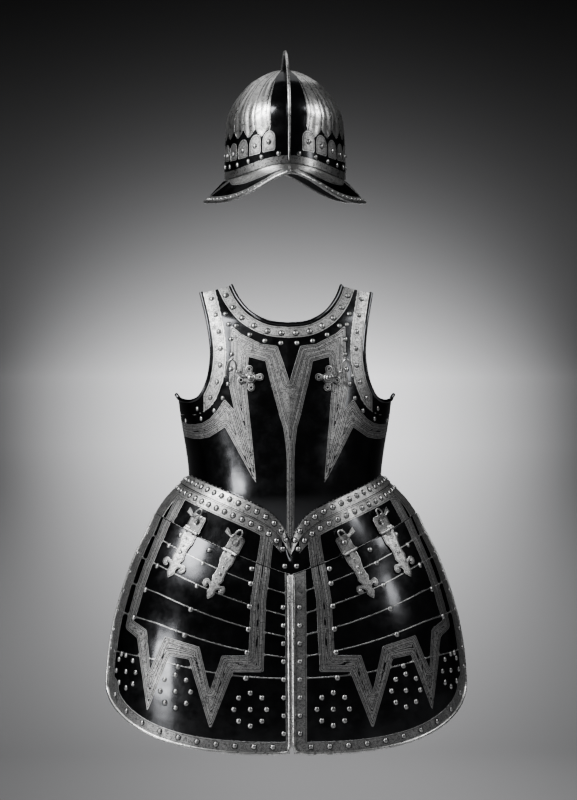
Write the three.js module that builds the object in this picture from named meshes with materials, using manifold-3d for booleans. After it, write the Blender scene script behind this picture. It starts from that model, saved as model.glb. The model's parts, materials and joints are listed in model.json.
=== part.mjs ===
// Foot soldier's armour: combed pot helmet, breastplate with skirt lame, two tassets on hinged hasps.
// Millimetres. +Z up, the front faces -Y, +X is the viewer's right (the wearer's left).
// Origin: on the centre-line at shoulder height, in the plane of the breastplate's side edges.
import * as THREE from 'three';
import Module from 'manifold-3d';

const wasm = await Module();
wasm.setup();

const helmet = {
  plate: 1.5, halfWidth: 100, lengthRatio: 1.22, baseLift: 27, combHeight: 31, combRoll: 3, pitch: 0.063,
  brimHalfWidth: 132, brimHalfLength: 189, brimSide: 145.5, brimPeak: 48.5, brimRoll: 2.6, upstand: 22,
};
const chest = { plate: 2, section: 2.3, rollRadius: 3.2, flangeWidth: 20, flangePlate: 1.5 };
const skirt = { plate: 1.5, section: 3, edge: 0.86, flush: 2, topGap: 1, step: 1.2, rollRadius: 2.75 };
const seamX = 3.5;
const hinge = { innerX: 95, innerZ: -427, outerX: 157, outerZ: -395, stand: 6.2, knuckle: 3.1, pin: 1.5 };
const gap = 0.3;

// Side profile of the skull: half width at each height.
const skullProfile = [
  { w: 100, z: 182 }, { w: 99.5, z: 214 }, { w: 97.9, z: 252 }, { w: 94.3, z: 284 }, { w: 83, z: 309 },
  { w: 62, z: 335 }, { w: 45.5, z: 347.5 }, { w: 24, z: 358.5 }, { w: 6, z: 363.5 },
];
// Breastplate: half width and depth forward of the side edges, and the ridge, at each height.
const chestForm = [
  { z: -415, half: 156, depth: 150, ridge: 10 }, { z: -380, half: 156, depth: 160, ridge: 10 },
  { z: -330, half: 157, depth: 168, ridge: 9 }, { z: -280, half: 161, depth: 165, ridge: 7.5 },
  { z: -200, half: 173.5, depth: 150, ridge: 5.5 }, { z: -120, half: 181, depth: 128, ridge: 4 },
  { z: -55, half: 184, depth: 100, ridge: 3 }, { z: -20, half: 185, depth: 72, ridge: 3 },
  { z: 20, half: 186, depth: 37, ridge: 3 },
];
// Skirt and tassets: visible half width and depth at each height.
const skirtForm = [
  { z: -745, half: 294, depth: 210 }, { z: -680, half: 293.5, depth: 208 }, { z: -643, half: 293, depth: 206 },
  { z: -594, half: 289.5, depth: 202 }, { z: -544, half: 281.3, depth: 196.5 },
  { z: -511, half: 273, depth: 191 }, { z: -478, half: 262.7, depth: 183 }, { z: -445, half: 250.7, depth: 169.5 },
  { z: -421, half: 240, depth: 158 }, { z: -396, half: 227, depth: 145 }, { z: -360, half: 211, depth: 125 },
];
// Centre-lines of the turned edges, seen from the front.
const neckLine = [
  { x: 0, z: -59 }, { x: 32.5, z: -55 }, { x: 61, z: -39.5 }, { x: 80, z: -16.5 }, { x: 90.5, z: 6 },
];
const armLine = [
  { x: 139.5, z: -6 }, { x: 131, z: -45 }, { x: 125.8, z: -77.5 }, { x: 123.9, z: -107.4 },
  { x: 127.4, z: -138.3 }, { x: 134.7, z: -162 }, { x: 145, z: -178 }, { x: 158.8, z: -183.5 },
  { x: 171, z: -181.5 }, { x: 177, z: -177.5 },
];
// Lames of the tassets: drop below the skirt joint at the centre, and growth with distance from it.
const lames = [
  { drop: 31, grow: 0.03 }, { drop: 65, grow: 0.07 }, { drop: 98, grow: 0.125 },
  { drop: 130, grow: 0.2 }, { drop: 162, grow: 0.32 },
];
// Strap of a hasp: distance below the barrel and half width.
const strapOutline = [
  { d: 5.5, w: 11 }, { d: 26, w: 11 }, { d: 46, w: 10 }, { d: 50, w: 7 }, { d: 58, w: 17 },
  { d: 66, w: 14 }, { d: 72, w: 4 }, { d: 80, w: 0.8 },
];

const blackSteel = new THREE.MeshStandardMaterial({ name: 'blackened_steel', color: 0x1d2123, metalness: 1, roughness: 0.3 });
const brightSteel = new THREE.MeshStandardMaterial({ name: 'bright_steel', color: 0xa8a9a8, metalness: 1, roughness: 0.4 });
const group = new THREE.Group();

// ---------- numbers ----------
function table(rows, key, z) {
  const sorted = rows;
  const last = sorted.length - 1;
  const zc = Math.min(Math.max(z, sorted[0].z), sorted[last].z);
  let i = 0;
  while (i < last - 1 && zc > sorted[i + 1].z) i += 1;
  const slope = (k) => {
    const a = sorted[Math.max(k - 1, 0)];
    const b = sorted[Math.min(k + 1, last)];
    return (b[key] - a[key]) / (b.z - a.z);
  };
  const p = sorted[i];
  const q = sorted[i + 1];
  const h = q.z - p.z;
  const t = (zc - p.z) / h;
  const t2 = t * t;
  const t3 = t2 * t;
  return (2 * t3 - 3 * t2 + 1) * p[key] + (t3 - 2 * t2 + t) * h * slope(i)
    + (3 * t2 - 2 * t3) * q[key] + (t3 - t2) * h * slope(i + 1);
}

function spline(points, u) {
  const curve = new THREE.SplineCurve(points.map((p) => new THREE.Vector2(p.x, p.z)));
  return curve.getPoint(u);
}

const vec = (x, y, z) => new THREE.Vector3(x, y, z);
const range = (n, f) => Array.from({ length: n }, (_, i) => f(i));

// ---------- surfaces ----------
function chestPoint(x, z) {
  const half = table(chestForm, 'half', z);
  const r = Math.min(Math.abs(x) / half, 1);
  const ridge = table(chestForm, 'ridge', z) * Math.exp(-Math.abs(x) / 30);
  const y = -table(chestForm, 'depth', z) * Math.sqrt(1 - r ** chest.section) - ridge;
  return vec(Math.sign(x) * Math.min(Math.abs(x), half), y, z);
}

const waistHeight = (x) => -305 - 0.42 * (158 - Math.abs(x)) - 42 * Math.exp(-Math.abs(x) / 15);
const jointHeight = (x) => -366 - 0.45 * (213 - Math.abs(x)) - 7 * Math.sin(Math.PI * Math.min(Math.abs(x), 213) / 213);
const hemHeight = (x) => -743 + 100 * (1 - Math.sqrt(Math.max(0, 1 - (Math.min(Math.abs(x), 293) / 293) ** 2.8)));

function chestAt(s, z) {
  const x = table(chestForm, 'half', z) * Math.sin(Math.PI * s / 2);
  return chestPoint(x, z);
}

function skirtPoint(x, z) {
  const half = table(skirtForm, 'half', z) / 0.975;
  const r = Math.min(Math.abs(x) / half, 1);
  return vec(x, -table(skirtForm, 'depth', z) * Math.sqrt(1 - r ** skirt.section), z);
}

function settle(start, step) {
  let z = start;
  for (let i = 0; i < 40; i += 1) z = 0.5 * z + 0.5 * step(z);
  return z;
}

function waistPoint(s) {
  const z = settle(-340, (h) => waistHeight(table(chestForm, 'half', h) * Math.sin(Math.PI * s / 2)));
  return chestAt(s, z);
}

function jointPoint(s) {
  const width = (h) => table(skirtForm, 'half', h) / 0.975 * Math.sin(Math.PI * s * skirt.edge / 2);
  const z = settle(-400, (h) => jointHeight(width(h)));
  const p = skirtPoint(width(z), z);
  return p.addScaledVector(skirtNormal(p.x, p.z), skirt.flush);
}

function skirtNormal(x, z) {
  const e = 0.5;
  const dx = skirtPoint(x + e, z).sub(skirtPoint(x - e, z));
  const dz = skirtPoint(x, z + e).sub(skirtPoint(x, z - e));
  return dx.cross(dz).normalize();
}

function fauldPoint(s, t) {
  const a = waistPoint(s);
  const b = jointPoint(s);
  const m = vec(a.x + 0.65 * (b.x - a.x), a.y + 0.65 * (b.y - a.y), a.z + 0.4 * (b.z - a.z));
  return a.multiplyScalar((1 - t) ** 2).addScaledVector(m, 2 * t * (1 - t)).addScaledVector(b, t * t);
}

function fauldShare(s, distance) {
  let run = 0;
  let last = fauldPoint(s, 0);
  for (let i = 1; i <= 60; i += 1) {
    const next = fauldPoint(s, i / 60);
    run += next.distanceTo(last);
    if (run >= distance) return i / 60;
    last = next;
  }
  return 1;
}

function fauldNormal(s, t) {
  const e = 0.01;
  const lo = Math.max(-1, s - e);
  const hi = Math.min(1, s + e);
  const ds = fauldPoint(hi, t).sub(fauldPoint(lo, t));
  const dt = fauldPoint(s, Math.min(1, t + e)).sub(fauldPoint(s, Math.max(0, t - e)));
  return dt.cross(ds).normalize();
}

// Point of the skirt lame seen at (x, z) from the front.
function fauldSeen(x, z) {
  let s = x / 190;
  let t = 0.5;
  for (let i = 0; i < 30; i += 1) {
    const p = fauldPoint(s, t);
    const e = 0.004;
    const ps = fauldPoint(s + e, t).sub(p).divideScalar(e);
    const pt = fauldPoint(s, t + e).sub(p).divideScalar(e);
    const det = ps.x * pt.z - ps.z * pt.x;
    const rx = x - p.x;
    const rz = z - p.z;
    s += 0.8 * (rx * pt.z - rz * pt.x) / det;
    t += 0.8 * (ps.x * rz - ps.z * rx) / det;
    s = Math.min(0.99, Math.max(-0.99, s));
    t = Math.min(1, Math.max(0, t));
  }
  return { s, t };
}

function skullPoint(angle, v) {
  const k = v * (skullProfile.length - 1);
  const curve = new THREE.SplineCurve(skullProfile.map((r) => new THREE.Vector2(r.w, r.z)));
  const p = curve.getPoint(k / (skullProfile.length - 1));
  const lift = helmet.baseLift * Math.abs(Math.sin(angle)) ** 3 * (1 - v) ** 2;
  const y = helmet.lengthRatio * p.x * Math.sin(angle);
  return vec(p.x * Math.cos(angle), y, p.y + lift + helmet.pitch * y); // the helmet is worn a little nose-down
}

function skullInside(angle, v, depth) {
  const e = skullPoint(angle + 0.01, v).sub(skullPoint(angle - 0.01, v));
  const f = skullPoint(angle, Math.min(1, v + 0.01)).sub(skullPoint(angle, Math.max(0, v - 0.01)));
  return skullPoint(angle, v).addScaledVector(e.cross(f).normalize(), -depth);
}

function brimPoint(angle, u) {
  const c = Math.cos(angle);
  const n = Math.sin(angle);
  const a = skullInside(angle, 0, helmet.plate + gap + 0.4);
  const x0 = a.x;
  const y0 = a.y;
  const power = 2 / 1.7;
  const x1 = helmet.brimHalfWidth * Math.sign(c) * Math.abs(c) ** power;
  const y1 = helmet.brimHalfLength * Math.sign(n) * Math.abs(n) ** power;
  const z1 = helmet.brimSide + helmet.brimPeak * (Math.abs(y1) / helmet.brimHalfLength) ** 5 + helmet.pitch * y1;
  const sweep = u ** 1.15;
  const z0 = a.z - 2 * gap;
  return vec(x0 + (x1 - x0) * u, y0 + (y1 - y0) * u, z0 + (z1 - z0) * sweep);
}

// ---------- solids ----------
function closedMesh(points, faces) {
  let volume = 0;
  for (const [a, b, c] of faces) volume += points[a].dot(points[b].clone().cross(points[c]));
  const ordered = volume < 0 ? faces.map(([a, b, c]) => [a, c, b]) : faces;
  const mesh = new wasm.Mesh({
    numProp: 3,
    vertProperties: new Float32Array(points.flatMap((p) => [p.x, p.y, p.z])),
    triVerts: new Uint32Array(ordered.flat()),
  });
  mesh.merge();
  return new wasm.Manifold(mesh);
}

// Plate between two grids of the same size.
function slab(outer, inner) {
  const nu = outer.length;
  const nv = outer[0].length;
  const points = [...outer.flat(), ...inner.flat()];
  const at = (i, j) => i * nv + j;
  const back = nu * nv;
  const faces = [];
  const quad = (a, b, c, d) => faces.push([a, b, c], [a, c, d]);
  for (let i = 0; i < nu - 1; i += 1) {
    for (let j = 0; j < nv - 1; j += 1) {
      quad(at(i, j), at(i + 1, j), at(i + 1, j + 1), at(i, j + 1));
      quad(back + at(i, j), back + at(i, j + 1), back + at(i + 1, j + 1), back + at(i + 1, j));
    }
  }
  for (let i = 0; i < nu - 1; i += 1) {
    quad(at(i + 1, 0), at(i, 0), back + at(i, 0), back + at(i + 1, 0));
    quad(at(i, nv - 1), at(i + 1, nv - 1), back + at(i + 1, nv - 1), back + at(i, nv - 1));
  }
  for (let j = 0; j < nv - 1; j += 1) {
    quad(at(0, j), at(0, j + 1), back + at(0, j + 1), back + at(0, j));
    quad(at(nu - 1, j + 1), at(nu - 1, j), back + at(nu - 1, j), back + at(nu - 1, j + 1));
  }
  return closedMesh(points, faces);
}

function gridNormals(grid, sign) {
  const nu = grid.length;
  const nv = grid[0].length;
  return grid.map((row, i) => row.map((p, j) => {
    const du = grid[Math.min(i + 1, nu - 1)][j].clone().sub(grid[Math.max(i - 1, 0)][j]);
    const dv = grid[i][Math.min(j + 1, nv - 1)].clone().sub(grid[i][Math.max(j - 1, 0)]);
    return du.cross(dv).normalize().multiplyScalar(sign);
  }));
}

const shifted = (grid, normals, distance) => grid.map((row, i) => row.map(
  (p, j) => p.clone().addScaledVector(normals[i][j], typeof distance === 'number' ? distance : distance(i, j)),
));

// Solid through closed rings of points, with flat ends.
function ringSolid(rings) {
  const n = rings[0].length;
  const points = rings.flat();
  const faces = [];
  for (let i = 0; i < rings.length - 1; i += 1) {
    for (let j = 0; j < n; j += 1) {
      const k = (j + 1) % n;
      faces.push([i * n + j, i * n + k, (i + 1) * n + k], [i * n + j, (i + 1) * n + k, (i + 1) * n + j]);
    }
  }
  const last = (rings.length - 1) * n;
  for (let j = 1; j < n - 1; j += 1) {
    faces.push([0, j + 1, j], [last, last + j, last + j + 1]);
  }
  return closedMesh(points, faces);
}

// Tube along points; the radius may change along it.
function tube(path, radius, sides) {
  const rings = [];
  let side = null;
  path.forEach((p, i) => {
    const before = path[Math.max(i - 1, 0)];
    const after = path[Math.min(i + 1, path.length - 1)];
    const along = after.clone().sub(before).normalize();
    if (!side) side = Math.abs(along.z) < 0.8 ? vec(0, 0, 1) : vec(1, 0, 0);
    side = side.clone().addScaledVector(along, -side.dot(along)).normalize();
    const other = along.clone().cross(side);
    const r = typeof radius === 'number' ? radius : radius(i / (path.length - 1));
    rings.push(range(sides, (j) => {
      const a = 2 * Math.PI * j / sides;
      return p.clone().addScaledVector(side, r * Math.cos(a)).addScaledVector(other, r * Math.sin(a));
    }));
  });
  return ringSolid(rings);
}

function ringTube(path, radius, sides) {
  const n = path.length;
  const points = [];
  const faces = [];
  path.forEach((p, i) => {
    const along = path[(i + 1) % n].clone().sub(path[(i + n - 1) % n]).normalize();
    const side = vec(0, 0, 1).addScaledVector(along, -along.z).normalize();
    const other = along.clone().cross(side);
    for (let j = 0; j < sides; j += 1) {
      const a = 2 * Math.PI * j / sides;
      points.push(p.clone().addScaledVector(side, radius * Math.cos(a)).addScaledVector(other, radius * Math.sin(a)));
    }
  });
  for (let i = 0; i < n; i += 1) {
    for (let j = 0; j < sides; j += 1) {
      const k = (j + 1) % sides;
      const next = ((i + 1) % n) * sides;
      faces.push([i * sides + j, i * sides + k, next + k], [i * sides + j, next + k, next + j]);
    }
  }
  return closedMesh(points, faces);
}

function prismY(outline, y0, y1) {
  const rings = [y0, y1].map((y) => outline.map((p) => vec(p.x, y, p.z)));
  const shape = THREE.ShapeUtils.triangulateShape(outline.map((p) => new THREE.Vector2(p.x, p.z)), []);
  const n = outline.length;
  const faces = shape.flatMap(([a, b, c]) => [[a, b, c], [n + a, n + c, n + b]]);
  const turn = THREE.ShapeUtils.area(outline.map((p) => new THREE.Vector2(p.x, p.z))) > 0;
  for (let j = 0; j < n; j += 1) {
    const k = (j + 1) % n;
    const wall = turn ? [[j, n + j, n + k], [j, n + k, k]] : [[j, n + k, n + j], [j, k, n + k]];
    faces.push(...wall);
  }
  return closedMesh(rings.flat(), turn ? faces : faces);
}

function add(name, solid, material) {
  const mesh = solid.getMesh();
  const geometry = new THREE.BufferGeometry();
  const flat = [];
  for (const index of mesh.triVerts) {
    flat.push(...mesh.vertProperties.slice(index * mesh.numProp, index * mesh.numProp + 3));
  }
  geometry.setAttribute('position', new THREE.Float32BufferAttribute(flat, 3));
  geometry.computeVertexNormals();
  const node = new THREE.Mesh(geometry, material.clone());
  node.name = name;
  group.add(node);
  return node;
}

const union = (list) => list.reduce((a, b) => a.add(b));
const mirrorX = (solid) => solid.mirror([1, 0, 0]);

// Rod from a to b.
function rod(a, b, radius, sides) {
  return tube([a, b], radius, sides);
}

// ---------- helmet ----------
const around = 32;

function skullSolid(offset, drop) {
  const rows = range(11, (i) => (i / 10) ** 0.85);
  const rings = rows.map((v) => range(around, (j) => {
    const angle = 2 * Math.PI * (j + 0.5) / around;
    return skullInside(angle, v, offset);
  }));
  if (drop) rings.unshift(rings[0].map((p) => vec(p.x, p.y, p.z - drop)));
  return ringSolid(rings);
}

function crestPoint(share, height, clear) {
  const v = 1 - Math.abs(share);
  const angle = share < 0 ? -Math.PI / 2 : Math.PI / 2;
  const p = skullPoint(angle, v);
  const q = skullPoint(angle, Math.max(0, v - 0.02));
  const along = Math.sign(share || 1) * Math.min(1, Math.abs(share) * 8);
  const out = vec(0, p.z - q.z, Math.abs(q.y) - Math.abs(p.y) + 0.001).normalize();
  out.y *= along;
  out.normalize();
  const rise = clear + height * Math.sin(Math.PI / 2 * (1 - Math.abs(share))) ** 0.7;
  return p.addScaledVector(out, rise);
}

function combSolid() {
  const top = helmet.combHeight - 2 * helmet.combRoll;
  const shares = range(33, (i) => -0.97 + 1.94 * i / 32);
  const outer = shares.map((s) => crestPoint(s, top, 0));
  const inner = shares.map((s) => crestPoint(s, 0, 0)).map((p) => vec(0, p.y * 0.99, p.z - 1));
  const grid = shares.map((s, i) => [inner[i], outer[i]]);
  const near = grid.map((row) => row.map((p) => vec(gap / 2, p.y, p.z)));
  const far = grid.map((row) => row.map((p, j) => vec(j ? 2.2 : 3.6, p.y, p.z)));
  return slab(far, near);
}

function buildHelmet() {
  const shell = skullSolid(0, 0).subtract(skullSolid(helmet.plate, 20));
  const half = shell.trimByPlane([1, 0, 0], gap / 2).add(combSolid().subtract(skullSolid(1, 20)));
  add('skull_right', half, blackSteel);
  add('skull_left', mirrorX(half), blackSteel);
  const top = helmet.combHeight - 2 * helmet.combRoll;
  const edge = range(33, (i) => crestPoint(-0.97 + 1.94 * i / 32, top, helmet.combRoll + 2 * gap));
  add('comb_edge', tube(edge, (u) => helmet.combRoll * (0.55 + 0.45 * Math.sin(Math.PI * u) ** 0.5), 7), brightSteel);

  const count = around;
  const turns = range(count, (i) => 2 * Math.PI * (i + 0.5) / count);
  const shares = [0, 0.3, 0.65, 1];
  const inset = helmet.plate + gap + 0.4;
  const profile = (angle) => [skullInside(angle, 0.085, inset), ...shares.map((u) => brimPoint(angle, u))];
  const rows = turns.map(profile);
  const wrapped = [rows[count - 1], ...rows, rows[0]];
  const normals = gridNormals(wrapped, -1).slice(1, count + 1);
  const under = shifted(rows, normals, -helmet.plate);
  const points = [...rows.flat(), ...under.flat()];
  const m = rows[0].length;
  const faces = [];
  const back = count * m;
  for (let i = 0; i < count; i += 1) {
    const k = (i + 1) % count;
    for (let j = 0; j < m - 1; j += 1) {
      faces.push([i * m + j, k * m + j, k * m + j + 1], [i * m + j, k * m + j + 1, i * m + j + 1]);
      faces.push([back + i * m + j, back + k * m + j + 1, back + k * m + j]);
      faces.push([back + i * m + j, back + i * m + j + 1, back + k * m + j + 1]);
    }
    faces.push([k * m, i * m, back + i * m], [k * m, back + i * m, back + k * m]);
    const e = m - 1;
    faces.push([i * m + e, k * m + e, back + k * m + e], [i * m + e, back + k * m + e, back + i * m + e]);
  }
  const brim = closedMesh(points, faces);
  const rim = turns.map((angle) => brimPoint(angle, 1).add(vec(0, 0, -0.6)));
  add('brim', brim.add(ringTube(rim, helmet.brimRoll, 6)), brightSteel);
}

// ---------- breastplate and skirt lame ----------
function alongLine(line, count, surface) {
  return range(count, (i) => {
    const p = spline(line, i / (count - 1));
    return surface(p.x, p.y);
  });
}

function buildBody() {
  const columns = range(37, (i) => {
    const s = -1 + 2 * i / 36;
    return Math.sign(s) * Math.abs(s) ** 1.15;
  });
  const rows = range(12, (j) => j / 11);
  const flange = columns.map((s) => fauldShare(s, chest.flangeWidth));
  const grid = columns.map((s, i) => {
    const w = waistPoint(s);
    const body = rows.map((t) => chestAt(s, 14 + (w.z - 14) * t));
    return [...body, fauldPoint(s, flange[i] * 0.5), fauldPoint(s, flange[i])];
  });
  const normals = gridNormals(grid, -1);
  const plate = slab(grid, shifted(grid, normals, (i, j) => (j < 12 ? -chest.plate : -chest.flangePlate)));

  const neck = range(15, (i) => spline(neckLine, i / 14));
  const neckOutline = [
    ...neck.slice().reverse().map((p) => ({ x: -p.x, z: p.y })), ...neck.slice(1).map((p) => ({ x: p.x, z: p.y })),
    { x: 92.5, z: 60 }, { x: -92.5, z: 60 },
  ];
  const arm = range(19, (i) => spline(armLine, i / 18));
  const armOutline = [
    { x: 140, z: 60 }, ...arm.map((p) => ({ x: p.x, z: p.y })), { x: 240, z: -160 }, { x: 240, z: 60 },
  ];
  const topOutline = [{ x: 60, z: 13 }, { x: 160, z: -12.5 }, { x: 160, z: 60 }, { x: 60, z: 60 }];
  const armCut = prismY(armOutline, -260, 60);
  const topCut = prismY(topOutline, -260, 60);
  const cuts = [prismY(neckOutline, -260, 60), armCut, mirrorX(armCut), topCut, mirrorX(topCut)];
  const cut = cuts.reduce((body, tool) => body.subtract(tool), plate);

  const onPlate = (x, z) => {
    const p = chestPoint(x, z);
    return p.add(vec(0, chest.plate / 2, 0));
  };
  const rightNeck = alongLine(neckLine, 13, onPlate);
  const neckPath = [...rightNeck.slice(1).reverse().map((p) => vec(-p.x, p.y, p.z)), ...rightNeck];
  const armPath = alongLine(armLine, 19, (x, z) => {
    const half = table(chestForm, 'half', z);
    return chestPoint(Math.min(x, half * 0.998), z).add(vec(0, 1, 0));
  });
  armPath.push(vec(179.6, -2, -172.5));
  const armRoll = tube(armPath, chest.rollRadius, 6);
  const body = union([cut, tube(neckPath, chest.rollRadius, 6), armRoll, mirrorX(armRoll)]);
  add('breastplate', body, blackSteel);

  const lameRows = (share) => [0.5 * share, share, share + 0.35 * (1 - share), share + 0.7 * (1 - share), 1];
  const lameGrid = columns.map((s, i) => lameRows(flange[i]).map((t) => fauldPoint(s, t)));
  const lameNormals = gridNormals(lameGrid, -1);
  const top = shifted(lameGrid, lameNormals, -skirt.flush);
  const under = shifted(lameGrid, lameNormals, -skirt.flush - skirt.plate);
  add('skirt_lame', slab(top, under), blackSteel);
}

// ---------- tassets ----------
function tassetColumn(q) {
  const reach = (z) => table(skirtForm, 'half', z);
  const xTop = seamX + (reach(-366) - seamX) * q;
  const zTop = settle(-400, (h) => jointHeight(seamX + (reach(h) - seamX) * q)) - skirt.topGap;
  const xHem = seamX + (293 - seamX) * Math.sin(Math.PI * q / 2) ** 0.9;
  const zHem = hemHeight(xHem);
  const top = (seamX + (reach(zTop) - seamX) * q) / reach(zTop);
  const hem = xHem / reach(zHem);
  const across = (z) => {
    const share = Math.min(1, Math.max(0, (zTop - z) / (zTop - zHem)));
    const straight = reach(z) * (top + (hem - top) * share);
    return q === 0 ? seamX : Math.max(straight, seamX);
  };
  return { xTop, zTop, zHem, across };
}

function tassetGrid(columns) {
  return columns.map((q) => {
    const column = tassetColumn(q);
    const lines = lames.map((lame) => settle(-500, (h) => {
      const x = column.across(h);
      return jointHeight(x) - lame.drop - lame.grow * x;
    })).filter((z) => true);
    const rows = [];
    const put = (z, lift) => {
      const zc = Math.max(z, column.zHem);
      rows.push({ p: skirtPoint(column.across(zc), zc), lift });
    };
    put(column.zTop, skirt.step);
    lines.forEach((z) => {
      put(z, 0);
      put(z - 0.4, skirt.step);
    });
    const lower = lines[lines.length - 1] - 0.4;
    const steps = 5;
    range(steps, (i) => i + 1).forEach((i) => put(lower + (column.zHem - lower) * i / steps, skirt.step * (1 - i / steps)));
    return rows;
  });
}

function tassetSolid() {
  const columns = range(17, (i) => (i / 16) ** 0.9);
  const rows = tassetGrid(columns);
  const base = rows.map((row) => row.map((r) => r.p));
  const normals = base.map((row) => row.map((p) => skirtNormal(p.x, p.z)));
  const outer = shifted(base, normals, (i, j) => rows[i][j].lift);
  const inner = shifted(base, normals, -skirt.plate);
  const plate = slab(outer, inner);
  const last = base[0].length - 1;
  const seam = range(9, (i) => {
    const z = base[0][0].z - 2 + (base[0][last].z - base[0][0].z + 8) * i / 8;
    return skirtPoint(seamX, z);
  });
  const hem = columns.slice(1).map((q, i) => base[i + 1][last].clone());
  const side = range(7, (i) => {
    const z = -643 + (base[16][0].z - 2 + 643) * (i + 1) / 7;
    return skirtPoint(table(skirtForm, 'half', z), z);
  });
  const corner = [vec(seamX + 4, 0, -741)].map((p) => skirtPoint(p.x, p.z));
  const path = [...seam.slice(0, 8), skirtPoint(seamX, -731), ...corner, ...hem, ...side];
  return plate.add(tube(path, skirt.rollRadius, 6));
}

// ---------- hasps ----------
const axisInner = skirtPoint(hinge.innerX, hinge.innerZ);
const axisOuter = skirtPoint(hinge.outerX, hinge.outerZ);
const axis = axisOuter.clone().sub(axisInner).normalize();
const lift = skirtNormal(126, -411).multiplyScalar(hinge.stand);
const barrels = [
  { name: 'inner', at: axisInner.clone().add(lift) },
  { name: 'outer', at: axisOuter.clone().add(lift) },
];
const downSlope = { x: axis.z, z: -axis.x };
const slopeLength = Math.hypot(downSlope.x, downSlope.z);
downSlope.x /= slopeLength;
downSlope.z /= slopeLength;
const acrossSlope = { x: -downSlope.z, z: downSlope.x };

// Strip laid on a surface: stations along it with half widths, lifted clear of it.
function laidStrip(start, way, stations, surface, normal, clear, thick) {
  const grid = stations.map((row) => [-1, -0.5, 0, 0.5, 1].map((k) => {
    const x = start.x + way.x * row.d + acrossSlope.x * row.w * k;
    const z = start.z + way.z * row.d + acrossSlope.z * row.w * k;
    return { x, z };
  }));
  const at = (g, distance) => surface(g.x, g.z).addScaledVector(normal(g.x, g.z), distance);
  const outer = grid.map((row) => row.map((g) => at(g, clear + thick)));
  const inner = grid.map((row) => row.map((g) => at(g, clear)));
  return slab(outer, inner);
}

function buildHasp(where) {
  const centre = where.at;
  const pieces = {};
  const spot = (d) => centre.clone().addScaledVector(axis, d);
  const ground = { x: centre.x - lift.x, z: centre.z - lift.z };
  const strap = laidStrip(ground, downSlope, strapOutline, skirtPoint, skirtNormal, skirt.step + gap + 0.2, 1.5);
  const lug = (a, b, target) => {
    const middle = spot((a + b) / 2);
    const half = (b - a) / 2;
    const reach = target.clone().addScaledVector(axis, (a + b) / 2).sub(middle);
    reach.addScaledVector(axis, -reach.dot(axis));
    const long = reach.length();
    const dir = reach.normalize();
    const up = axis.clone().cross(dir).normalize();
    const corner = (u, v, w) => middle.clone().addScaledVector(dir, u).addScaledVector(axis, v * half).addScaledVector(up, w);
    return slab(
      [[corner(0, -1, 0.8), corner(0, 1, 0.8)], [corner(long, -1, 0.8), corner(long, 1, 0.8)]],
      [[corner(0, -1, -0.8), corner(0, 1, -0.8)], [corner(long, -1, -0.8), corner(long, 1, -0.8)]],
    );
  };
  const onStrap = skirtPoint(ground.x + downSlope.x * 8, ground.z + downSlope.z * 8)
    .addScaledVector(skirtNormal(ground.x, ground.z), skirt.step + gap + 0.95);
  const bore = rod(spot(-20), spot(20), hinge.pin + gap, 12);
  const middle = rod(spot(-4.2), spot(4.2), hinge.knuckle, 12);
  pieces.strap = union([strap, middle, lug(-4.2, 4.2, onStrap)]).subtract(bore);

  const above = { x: -downSlope.x, z: -downSlope.z };
  const seen = (x, z) => {
    const f = fauldSeen(x, z);
    return fauldPoint(f.s, f.t);
  };
  const seenNormal = (x, z) => {
    const f = fauldSeen(x, z);
    const n = fauldNormal(f.s, f.t);
    return n.y > 0 ? n.negate() : n;
  };
  const plateRows = [{ d: 5, w: 11.5 }, { d: 16, w: 11.5 }, { d: 27, w: 11.5 }, { d: 30, w: 9 }];
  const plate = laidStrip(ground, above, plateRows, seen, seenNormal, gap, 1.5);
  const base = seen(ground.x + above.x * 7, ground.z + above.z * 7);
  const onPlate = base.addScaledVector(seenNormal(ground.x, ground.z + 8), gap + 0.75);
  const lowKnuckle = rod(spot(-12.5), spot(-4.5), hinge.knuckle, 12);
  const highKnuckle = rod(spot(4.5), spot(12.5), hinge.knuckle, 12);
  const eyeX = ground.x + above.x * 19;
  const eyeZ = ground.z + above.z * 19;
  const eye = seen(eyeX, eyeZ);
  const eyeNormal = seenNormal(eyeX, eyeZ);
  const hole = rod(eye.clone().addScaledVector(eyeNormal, -3), eye.clone().addScaledVector(eyeNormal, 8), 4.3, 14);
  pieces.plate = union([plate, lowKnuckle, highKnuckle, lug(-12.5, -4.5, onPlate), lug(4.5, 12.5, onPlate)])
    .subtract(bore).subtract(hole);
  pieces.pin = union([
    rod(spot(-12.8), spot(12.8), hinge.pin, 12),
    rod(spot(-14), spot(-12.75), 2.4, 12), rod(spot(12.75), spot(14), 2.4, 12),
  ]);
  const foot = eye.clone().addScaledVector(eyeNormal, gap - skirt.flush);
  const neck = eye.clone().addScaledVector(eyeNormal, 3.2);
  pieces.stud = rod(foot, neck, 2.6, 12).add(rod(neck.clone().addScaledVector(eyeNormal, -0.01),
    neck.clone().addScaledVector(eyeNormal, 2), 3.8, 12));
  const hookSpots = [
    { a: 10, u: 4, h: 3.4 }, { a: 9.5, u: 9, h: 4.4 }, { a: 6.5, u: 12.5, h: 5.2 },
    { a: 2, u: 14, h: 5.6 }, { a: -3, u: 12, h: 5.2 }, { a: -5.6, u: 7.5, h: 4.6 },
  ];
  const hookPath = hookSpots.map((row) => {
    const x = eyeX + acrossSlope.x * row.a + above.x * (row.u - 4);
    const z = eyeZ + acrossSlope.z * row.a + above.z * (row.u - 4);
    return eye.clone().add(vec(x - eyeX, 0, z - eyeZ)).addScaledVector(eyeNormal, row.h);
  });
  hookPath.forEach((p) => {
    const flatOff = p.clone().sub(eye);
    const rise = flatOff.dot(eyeNormal);
    p.addScaledVector(eyeNormal, -rise + 3.6);
  });
  pieces.hook = tube(hookPath, 1.3, 6);
  return pieces;
}

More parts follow.
